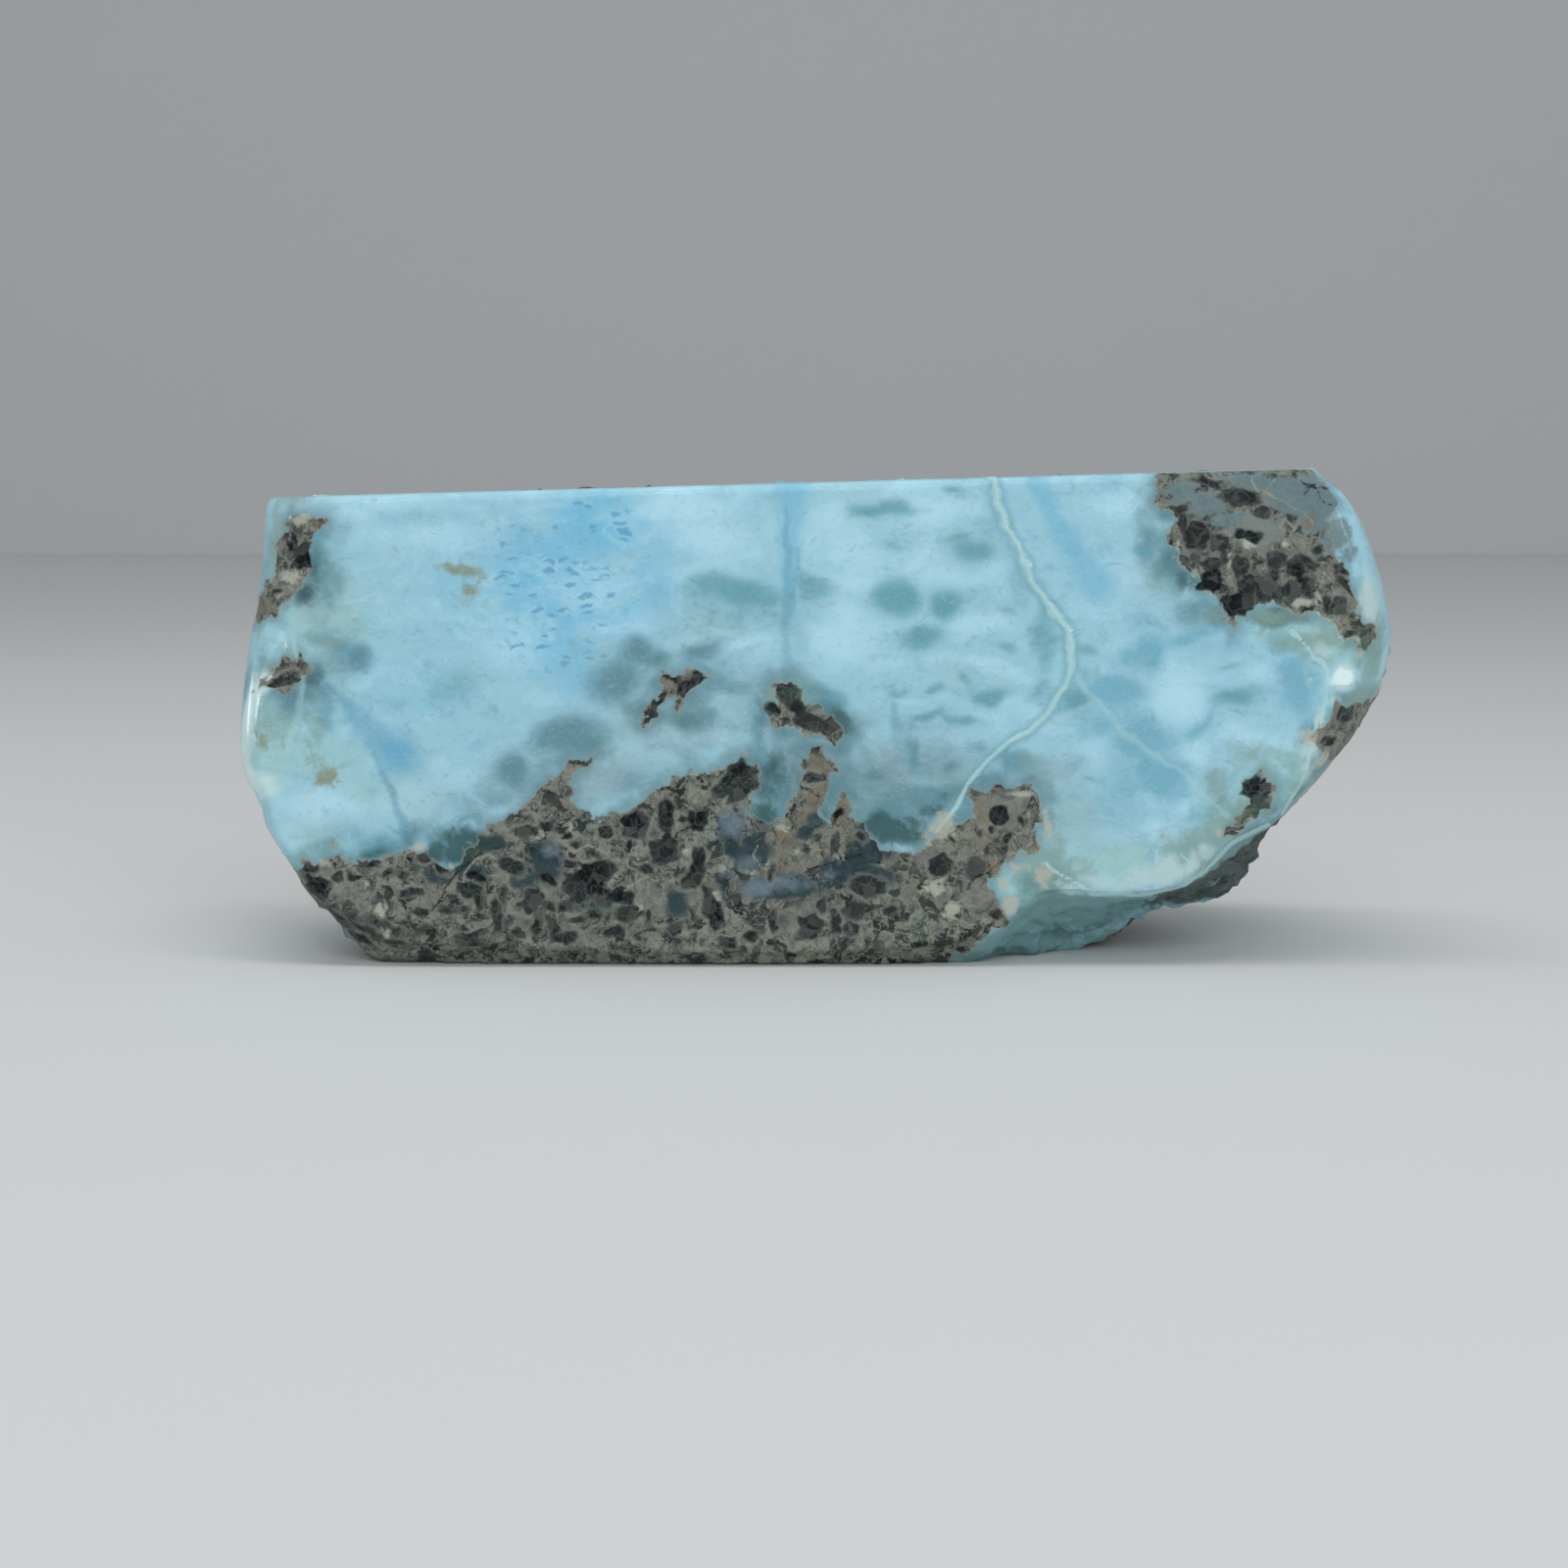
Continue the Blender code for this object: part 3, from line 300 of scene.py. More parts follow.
        (0.7, 4.6, 0.86, 0.38, 10, 0.5), (-3.6, 7.7, 0.67, 0.67, 0, 0.7), (-5.3, 6.7, 0.76, 0.67, 0, 0.4),
        (-1.0, 10.6, 0.67, 0.95, 0, 0.4),
    ],
    "tan": [
        (0.0, 10.0, 0.71, 0.86, 0, 1), (0.3, 8.8, 0.52, 0.57, 0, 0.9), (-0.1, 8.0, 0.67, 0.62, 30, 1),
        (-0.7, 7.4, 0.76, 0.62, 30, 1), (-1.4, 6.4, 0.76, 0.71, 20, 0.9), (-1.9, 5.7, 0.86, 0.67, 0, 0.9),
        (-2.4, 4.8, 0.76, 0.57, 0, 0.8), (-1.4, 4.8, 0.76, 0.57, 0, 0.9), (1.1, 7.8, 0.48, 0.76, 0, 1),
        (1.0, 6.8, 0.62, 0.57, 0, 0.8), (0.5, 6.0, 0.67, 0.57, 0, 0.8), (1.6, 6.4, 0.48, 0.57, 0, 0.7),
        (8.0, 7.6, 0.48, 1.2, 0, 1), (7.9, 6.4, 0.57, 0.57, 0, 0.8), (8.8, 8.4, 0.67, 0.38, 0, 0.7),
        (5.5, 5.2, 0.86, 0.57, 0, 0.6), (7.3, 4.0, 1, 0.67, 0, 0.5), (4.6, 3.9, 1.2, 0.67, 0, 0.4),
        (-6.6, 14.0, 1, 0.57, 0, 0.8), (-7.2, 13.1, 0.52, 0.62, -30, 0.5), (-23.8, 6.2, 0.57, 0.33, 0, 1),
        (-26.9, 17.8, 0.57, 0.62, 0, 0.9), (25.0, 18.7, 0.57, 0.95, -40, 0.4),
        (-22.9, 4.5, 1.1, 0.48, 0, 0.4), (-9.4, 6.2, 0.95, 0.57, 0, 0.3), (-6.5, 4.3, 1.1, 0.57, 0, 0.3),
    ],
    "ash": [
        (5.7, 5.5, 1.6, 1.1, 0, 0.9), (-0.6, 2.3, 1.6, 1, 0, 0.8), (-7.0, 3.4, 1.6, 1.1, 0, 0.8),
        (-13.4, 4.4, 1.2, 0.85, 0, 0.7), (-15.4, 6.6, 1, 0.85, 0, 0.7), (21.1, 21.3, 1.6, 0.95, 0, 0.9),
        (19.2, 20.6, 0.95, 1.2, 0, 0.6), (25.5, 18.1, 1.1, 1.3, -30, 0.9), (24.6, 10.7, 1.2, 1.1, 0, 0.9),
        (-26.3, 14.2, 1, 0.76, 20, 0.8), (23.4, 19.1, 0.95, 0.76, 0, 0.5), (21.5, 8.8, 0.95, 0.66, 30, 0.7),
        (-10.3, 6.9, 1.1, 0.95, 0, 0.5), (-21.0, 4.3, 1.4, 0.95, 0, 0.5), (-25.8, 18.7, 1.1, 0.66, 0, 0.6),
        (23.1, 16.8, 0.76, 0.57, 0, 0.6), (21.3, 21.2, 1.6, 1, 0, 1), (8.7, 7.7, 1.4, 1.4, 0, 1),
        (-0.6, 2.3, 1.4, 1, 0, 1), (-13.3, 4.4, 1.1, 0.85, 0, 1), (-8.2, 3.3, 1.6, 0.95, 0, 1),
        (-23.4, 4.0, 1.6, 0.95, -20, 0.9), (7.8, 3.4, 1.4, 0.85, 0, 0.9), (24.7, 10.8, 1.3, 1.1, 0, 1),
        (25.6, 13.0, 1.2, 1, 0, 1), (-26.9, 14.0, 0.66, 0.66, 0, 1),
    ],
    "moss": [
        (-0.1, 13.7, 2.1, 0.95, -25, 1), (-1.6, 14.9, 0.85, 0.76, 0, 1), (26.6, 15.7, 0.66, 1.6, 20, 0.8),
        (22.1, 17.9, 2.8, 0.38, 0, 0.6), (-3.6, 10.6, 0.76, 1, 0, 0.4), (-16.8, 5.8, 0.95, 0.57, 0, 0.6),
        (21.5, 7.8, 1, 0.57, 30, 0.7), (-10.4, 3.0, 0.95, 0.66, 0, 0.5),
    ],
    "rust": [
        (-1.7, 6.6, 0.38, 0.43, 0, 0.8), (-0.3, 8.5, 0.33, 0.33, 0, 0.7), (0.1, 10.1, 0.33, 0.57, 0, 0.5),
        (1.1, 7.8, 0.29, 0.29, 0, 0.6), (8.0, 7.7, 0.33, 0.86, 0, 0.7), (8.1, 6.7, 0.29, 0.38, 0, 0.6),
        (11.7, 4.8, 0.38, 0.29, 0, 1), (8.6, 5.0, 0.43, 0.33, 0, 0.9), (5.6, 5.2, 0.29, 0.48, 0, 0.6),
        (-23.8, 6.3, 0.48, 0.24, 0, 0.7), (-24.1, 9.5, 0.67, 0.57, 10, 1),
        (-24.6, 10.2, 0.76, 0.48, -30, 0.5), (-25.1, 10.7, 0.33, 0.24, 0, 0.5),
        (-17.2, 19.5, 1.2, 0.38, -5, 1), (-17.0, 18.5, 0.43, 0.38, -30, 1),
        (-17.0, 17.9, 0.95, 0.14, 5, 0.5), (-16.4, 19.1, 0.57, 0.29, 30, 0.5),
        (23.7, 21.9, 0.38, 0.38, 0, 1), (25.1, 20.8, 0.33, 0.19, -30, 0.8), (9.1, 21.6, 0.24, 0.38, -30, 1),
        (8.4, 23.5, 0.19, 0.43, 0, 0.8), (-27.2, 11.3, 0.24, 0.57, 20, 0.8),
        (-24.2, 21.8, 0.29, 0.29, 0, 0.9), (24.4, 21.3, 0.29, 0.19, -30, 0.6),
        (-6.5, 14.0, 0.48, 0.38, 0, 0.5), (10.7, 6.0, 0.29, 0.29, 0, 0.6), (8.6, 2.5, 0.67, 0.38, 0, 0.6),
        (21.0, 6.0, 0.24, 0.14, 0, 0.6),
    ],
    "cream": [
        (-21.5, 2.8, 0.43, 0.52, 0, 0.9), (-21.2, 1.7, 0.29, 0.24, 0, 0.8), (-19.6, 5.9, 0.43, 0.29, 0, 1),
        (-21.2, 3.5, 0.38, 0.33, 0, 0.6), (-18.0, 5.0, 0.19, 0.38, 0, 0.8), (5.7, 4.0, 0.71, 0.48, 20, 1),
        (6.6, 2.8, 0.67, 0.48, 10, 1), (6.1, 7.0, 0.76, 0.67, 20, 1), (5.3, 6.3, 0.48, 0.38, 30, 0.7),
        (20.9, 20.9, 0.48, 0.43, 0, 1), (22.6, 20.7, 0.24, 0.24, 0, 1), (23.5, 17.9, 0.62, 0.29, 10, 1),
        (24.2, 18.1, 0.38, 0.38, 0, 0.7), (-25.6, 19.2, 0.81, 0.43, 0, 1), (-25.2, 21.9, 0.57, 0.29, 0, 1),
        (-24.8, 22.1, 0.38, 0.19, 0, 0.9), (-26.2, 18.2, 0.33, 0.24, 0, 0.7),
        (24.9, 16.8, 0.38, 0.29, 0, 0.7), (25.4, 16.3, 0.29, 0.48, 0, 0.5),
        (26.5, 15.4, 0.29, 0.38, 0, 0.8), (26.2, 16.1, 0.48, 0.19, -40, 0.8), (9.4, 3.0, 0.48, 0.67, 0, 1),
        (9.1, 4.0, 0.38, 0.57, 0, 0.8), (9.9, 4.9, 0.76, 0.33, 0, 0.9), (11.1, 4.5, 0.48, 0.67, -30, 0.9),
        (10.8, 5.2, 0.48, 0.29, 0, 0.7), (23.9, 11.4, 0.43, 0.67, 20, 1),
        (24.6, 10.3, 0.48, 0.86, -20, 0.8), (19.6, 6.7, 0.33, 0.33, 0, 0.8),
        (-5.0, 3.5, 0.24, 0.43, 0, 0.8), (-4.8, 5.0, 0.33, 0.24, 0, 0.7), (-10.3, 9.3, 0.43, 0.19, 0, 0.5),
        (1.2, 5.5, 0.57, 0.33, -10, 0.5), (-1.7, 6.9, 0.43, 0.33, 0, 0.6), (-1.2, 5.6, 0.38, 0.33, 0, 0.6),
        (-2.5, 5.0, 0.29, 0.43, 0, 0.7), (-9.4, 4.0, 0.43, 0.33, 0, 0.4), (-8.7, 3.0, 0.48, 0.43, 0, 0.6),
        (-13.7, 6.7, 0.33, 0.43, 0, 0.5), (-0.2, 4.5, 0.33, 0.24, 0, 0.5),
        (19.8, 19.9, 0.19, 0.48, -20, 0.8), (18.3, 19.4, 0.29, 0.57, -40, 0.6),
        (17.3, 20.6, 0.19, 0.67, -15, 0.8), (22.0, 20.9, 0.43, 0.14, 0, 0.6),
        (-6.5, 5.7, 0.43, 0.33, 0, 0.5), (-11.8, 6.9, 0.43, 0.43, 0, 0.5), (-17.2, 2.5, 0.33, 0.24, 0, 0.4),
        (9.8, 8.6, 0.95, 0.19, 10, 0.7), (11.2, 7.2, 0.24, 1, 5, 0.9), (8.7, 20.6, 0.14, 0.24, 0, 0.3),
        (-3.1, 4.7, 0.38, 0.29, 0, 0.4), (3.4, 2.8, 0.57, 0.38, 0, 0.5), (0.2, 2.3, 0.67, 0.38, 0, 0.4),
        (-22.3, 4.0, 0.38, 0.29, 0, 0.5), (-24.3, 5.2, 0.38, 0.29, 0, 0.5),
    ],
    "shade": [
        (-21.8, 5.8, 0.57, 0.29, 0, 1), (-19.2, 5.9, 0.29, 0.24, 0, 1), (-18.5, 5.6, 0.43, 0.43, 0, 0.9),
        (-12.0, 6.0, 0.29, 0.24, 0, 0.8), (-11.2, 5.7, 0.43, 0.33, 0, 0.8),
        (-12.7, 2.4, 0.43, 0.38, 0, 0.7), (22.1, 19.8, 0.62, 0.62, 0, 0.7),
        (23.0, 18.6, 0.48, 0.43, 0, 0.9), (19.4, 20.8, 0.48, 0.38, 0, 0.9),
        (24.8, 17.9, 0.24, 0.43, 0, 0.8), (25.4, 19.6, 0.33, 0.29, 0, 0.8),
        (-22.5, 2.1, 1.9, 0.48, -35, 0.8), (-8.4, 4.9, 0.33, 0.24, 0, 0.8), (-8.0, 4.0, 0.57, 0.38, 0, 0.6),
        (-2.8, 1.8, 0.29, 0.24, 0, 0.8), (0.1, 9.3, 0.43, 0.38, 0, 0.4), (0.8, 6.1, 0.19, 0.38, 0, 0.8),
        (-0.7, 5.9, 0.33, 0.33, 0, 0.8), (-5.4, 5.2, 0.29, 0.19, 0, 0.9), (-4.6, 4.2, 0.19, 0.29, 0, 0.9),
        (1.7, 2.8, 0.81, 0.57, 0, 0.8), (-1.7, 2.3, 0.76, 0.43, 0, 0.7), (9.4, 7.5, 0.67, 0.76, 0, 0.6),
        (10.1, 8.1, 0.57, 0.38, 30, 0.5), (20.2, 23.1, 0.95, 0.33, 0, 0.9), (26.3, 10.3, 0.76, 1, 50, 0.7),
        (-25.4, 21.3, 0.57, 0.57, 0, 0.7), (-25.6, 13.9, 0.48, 0.29, 30, 0.6),
        (-10.4, 1.8, 0.95, 0.38, 0, 0.6), (-19.6, 1.8, 1.4, 0.38, 20, 0.6), (-9.4, 6.7, 0.57, 0.48, 0, 0.6),
        (-6.5, 6.9, 0.57, 0.38, 0, 0.5), (-17.6, 1.8, 0.95, 0.38, -20, 0.5),
        (-14.2, 2.1, 0.76, 0.38, 0, 0.5), (19.8, 22.8, 0.76, 0.29, 0, 0.7),
        (-6.7, 13.9, 0.38, 0.29, 0, 0.8), (-24.4, 3.3, 0.67, 0.38, -40, 0.5),
        (-20.5, 2.1, 0.95, 0.48, 10, 0.5),
    ],
    "clear": [
        (10.9, 3.9, 1.4, 0.95, 0, 0.8), (10.1, 3.0, 1.4, 0.95, 0, 0.6), (12.8, 2.5, 3.3, 0.95, -5, 0.7),
        (9.9, 1.3, 4.3, 0.67, 0, 0.6), (15.2, 2.8, 1.6, 0.86, 30, 1), (6.0, 0.6, 2.9, 0.48, 0, 0.7),
        (21.9, 6.2, 1.2, 1.4, 40, 0.8), (23.7, 7.7, 0.95, 0.95, 40, 0.5),
    ],
    "dull": [(-27.1, 19.2, 1.1, 4.6, 0, 1)],
    "speckle": [
        (-13.1, 18.7, 3.8, 2.9, -28, 1), (-10.2, 21.8, 2.4, 1.2, -20, 1), (-13.1, 15.6, 2.9, 1.6, -30, 0.9),
    ],
}

# The patches whose edges drift by up to 0.7 mm. The others keep to within 0.2 mm of their outlines.
softColours = ("cloud", "sky", "mint", "teal", "deep", "grey", "slate", "ink", "green", "speckle")

# Dark crystals in the basalt, each with four to six straight sides:
# x, z, half length, half width in mm, tilt in degrees
darkCrystals = [
    (-24.73, 3.96, 0.62, 0.52, -20), (-23.61, 4.54, 0.19, 0.19, 0), (-25.05, 4.93, 0.33, 0.19, 10),
    (-22.20, 5.18, 0.43, 0.19, -5), (-20.01, 3.71, 0.43, 0.14, 0), (-19.36, 5.42, 0.29, 0.19, 0),
    (-18.45, 5.08, 0.33, 0.43, 0), (-17.11, 3.87, 0.57, 0.38, -10), (-16.65, 3.18, 0.19, 0.29, 0),
    (-17.56, 2.89, 0.24, 0.14, 0), (-16.94, 2.50, 0.43, 0.12, 0), (-15.88, 2.99, 0.17, 0.38, 0),
    (-15.84, 2.21, 0.17, 0.43, 0), (-15.49, 3.57, 0.12, 0.29, 0), (-15.12, 5.08, 0.57, 0.29, -20),
    (-14.04, 3.28, 0.43, 0.62, -25), (-14.67, 3.13, 0.19, 0.14, 0), (-13.86, 2.10, 0.19, 0.38, 0),
    (-13.14, 2.10, 0.24, 0.48, 30), (-14.39, 6.78, 0.52, 0.24, 5), (-13.32, 7.07, 0.33, 0.24, 0),
    (-11.76, 4.06, 0.81, 0.71, -10), (-10.71, 4.74, 0.62, 0.52, 30), (-10.52, 3.48, 0.43, 0.43, 20),
    (-12.14, 5.13, 0.24, 0.12, 0), (-10.45, 6.69, 0.29, 0.24, 0), (-17.06, 1.23, 0.62, 0.24, 0),
    (-17.14, 1.62, 0.52, 0.12, 15), (-21.39, 2.01, 0.71, 0.19, -25), (-22.66, 1.32, 0.62, 0.19, -35),
    (-21.02, 1.13, 0.43, 0.14, 0), (-23.80, 2.40, 0.67, 0.17, -38), (-9.00, 7.07, 0.57, 0.57, 0),
    (-7.46, 7.51, 0.40, 0.76, 0), (-6.60, 7.32, 0.12, 0.14, 0), (-6.02, 7.27, 0.38, 0.48, 30),
    (-7.61, 5.76, 0.62, 0.52, 5), (-4.10, 9.30, 1.14, 0.43, 36), (-3.76, 8.72, 0.71, 0.24, 36),
    (-2.95, 7.71, 0.24, 0.48, 30), (-5.94, 5.13, 0.29, 0.67, 0), (-6.23, 4.31, 0.52, 0.38, 10),
    (-5.22, 2.93, 0.40, 0.95, 12), (-5.56, 3.82, 0.17, 0.17, 0), (-9.55, 3.57, 0.43, 0.43, -30),
    (-9.32, 2.65, 0.62, 0.29, 5), (-8.40, 2.60, 0.12, 0.29, 0), (-10.15, 1.76, 0.33, 0.19, 0),
    (-9.76, 1.71, 0.17, 0.29, 0), (-2.23, 2.26, 0.17, 0.43, 0), (-2.38, 4.84, 0.14, 0.29, 0),
    (0.22, 2.99, 0.19, 0.33, 0), (0.81, 2.21, 0.19, 0.43, 0), (0.81, 2.79, 0.14, 0.17, 0),
    (1.63, 1.87, 0.33, 0.29, 0), (-0.44, 1.67, 0.56, 0.28, 0), (0.81, 6.06, 0.14, 0.38, 0),
    (2.05, 6.49, 0.19, 0.19, 0), (-0.26, 9.39, 0.43, 0.19, 0), (-8.44, 4.84, 0.29, 0.14, 0),
    (-4.50, 1.23, 0.38, 0.24, 0), (-3.34, 1.57, 0.33, 0.24, 10), (-7.06, 1.91, 0.29, 0.24, 0),
    (-11.06, 2.60, 0.24, 0.29, 30), (-12.45, 3.04, 0.29, 0.24, 0), (-11.93, 2.30, 0.38, 0.14, 0),
    (-13.27, 3.04, 0.24, 0.19, 0), (-14.78, 1.71, 0.29, 0.24, -20), (-12.56, 1.48, 0.43, 0.19, 0),
    (-18.33, 2.79, 0.24, 0.14, -20), (-19.54, 2.79, 0.29, 0.19, 0), (-20.38, 4.59, 0.24, 0.14, -20),
    (-21.20, 4.74, 0.24, 0.14, 20), (17.25, 22.41, 0.57, 0.24, 20), (17.59, 21.80, 0.29, 0.38, 0),
    (18.31, 21.18, 0.62, 0.57, 20), (19.41, 20.80, 0.43, 0.29, 0), (18.23, 20.19, 0.24, 0.19, 45),
    (18.96, 19.77, 0.43, 0.33, -10), (17.63, 20.00, 0.29, 0.24, -20), (18.83, 19.05, 0.52, 0.29, -20),
    (17.92, 19.39, 0.14, 0.43, 40), (20.39, 19.72, 0.33, 0.52, 0), (21.26, 18.58, 0.95, 0.57, -5),
    (22.07, 18.29, 0.43, 0.33, 0), (20.05, 17.83, 0.33, 0.48, 0), (23.02, 18.58, 0.43, 0.43, 0),
    (23.09, 19.72, 0.43, 0.43, 0), (23.75, 19.86, 0.48, 0.19, -35), (23.73, 18.77, 0.29, 0.52, 10),
    (25.37, 19.62, 0.33, 0.24, -20), (25.68, 18.67, 0.17, 0.57, 40), (25.27, 17.83, 0.33, 0.38, 0),
    (24.70, 17.87, 0.19, 0.43, 20), (20.32, 23.07, 0.90, 0.33, 0), (21.37, 22.32, 0.33, 0.29, 0),
    (18.83, 23.77, 0.52, 0.14, -15), (22.18, 19.96, 0.43, 0.48, 0), (19.45, 18.67, 0.29, 0.19, -30),
    (18.51, 20.76, 0.24, 0.19, 0), (19.66, 20.10, 0.19, 0.24, 0), (24.16, 20.57, 0.24, 0.19, 0),
    (25.83, 16.40, 0.33, 0.24, 0), (22.05, 19.24, 0.29, 0.24, 0), (20.82, 19.15, 0.24, 0.19, 0),
    (2.44, 4.01, 0.77, 0.49, -10), (7.69, 4.93, 0.38, 0.44, 0), (9.26, 6.44, 0.17, 0.26, -20),
    (8.97, 5.81, 0.23, 0.13, 0), (8.72, 2.70, 0.33, 0.22, 0), (4.17, 6.30, 0.22, 0.38, 10),
    (7.91, 6.69, 0.13, 0.13, 0), (-7.24, 14.39, 0.49, 0.22, -20), (-5.90, 14.29, 0.55, 0.28, 30),
    (-6.57, 13.72, 0.22, 0.28, 0), (-8.20, 12.38, 0.22, 0.49, -25), (-7.82, 13.24, 0.22, 0.44, -25),
    (-25.64, 20.90, 0.30, 0.52, 10), (-25.30, 19.71, 0.28, 0.20, 30), (-26.55, 18.30, 0.28, 0.14, 30),
    (-25.85, 14.20, 0.45, 0.14, 15), (-25.54, 15.44, 0.33, 0.22, 0), (-26.43, 14.01, 0.55, 0.11, 40),
    (-27.28, 11.90, 0.16, 0.49, 20), (-27.16, 11.17, 0.11, 0.22, 0), (25.84, 12.62, 0.38, 0.55, -10),
    (25.01, 11.17, 0.38, 0.22, 10), (21.76, 8.81, 0.33, 0.60, -15), (21.09, 8.29, 0.49, 0.28, -10),
    (21.68, 7.71, 0.28, 0.38, 0), (20.46, 6.64, 0.60, 0.16, 30), (-1.56, 13.62, 0.44, 0.44, -20),
    (-0.56, 12.23, 0.60, 0.33, -20), (0.50, 11.94, 0.49, 0.33, 0), (-1.13, 12.86, 0.44, 0.28, -30),
    (3.56, 2.74, 0.33, 0.22, 0), (5.07, 6.92, 0.16, 0.33, 0), (6.00, 5.08, 0.55, 0.49, 0),
    (9.97, 7.27, 0.10, 0.20, 20), (8.54, 6.88, 0.10, 0.13, 0),
]
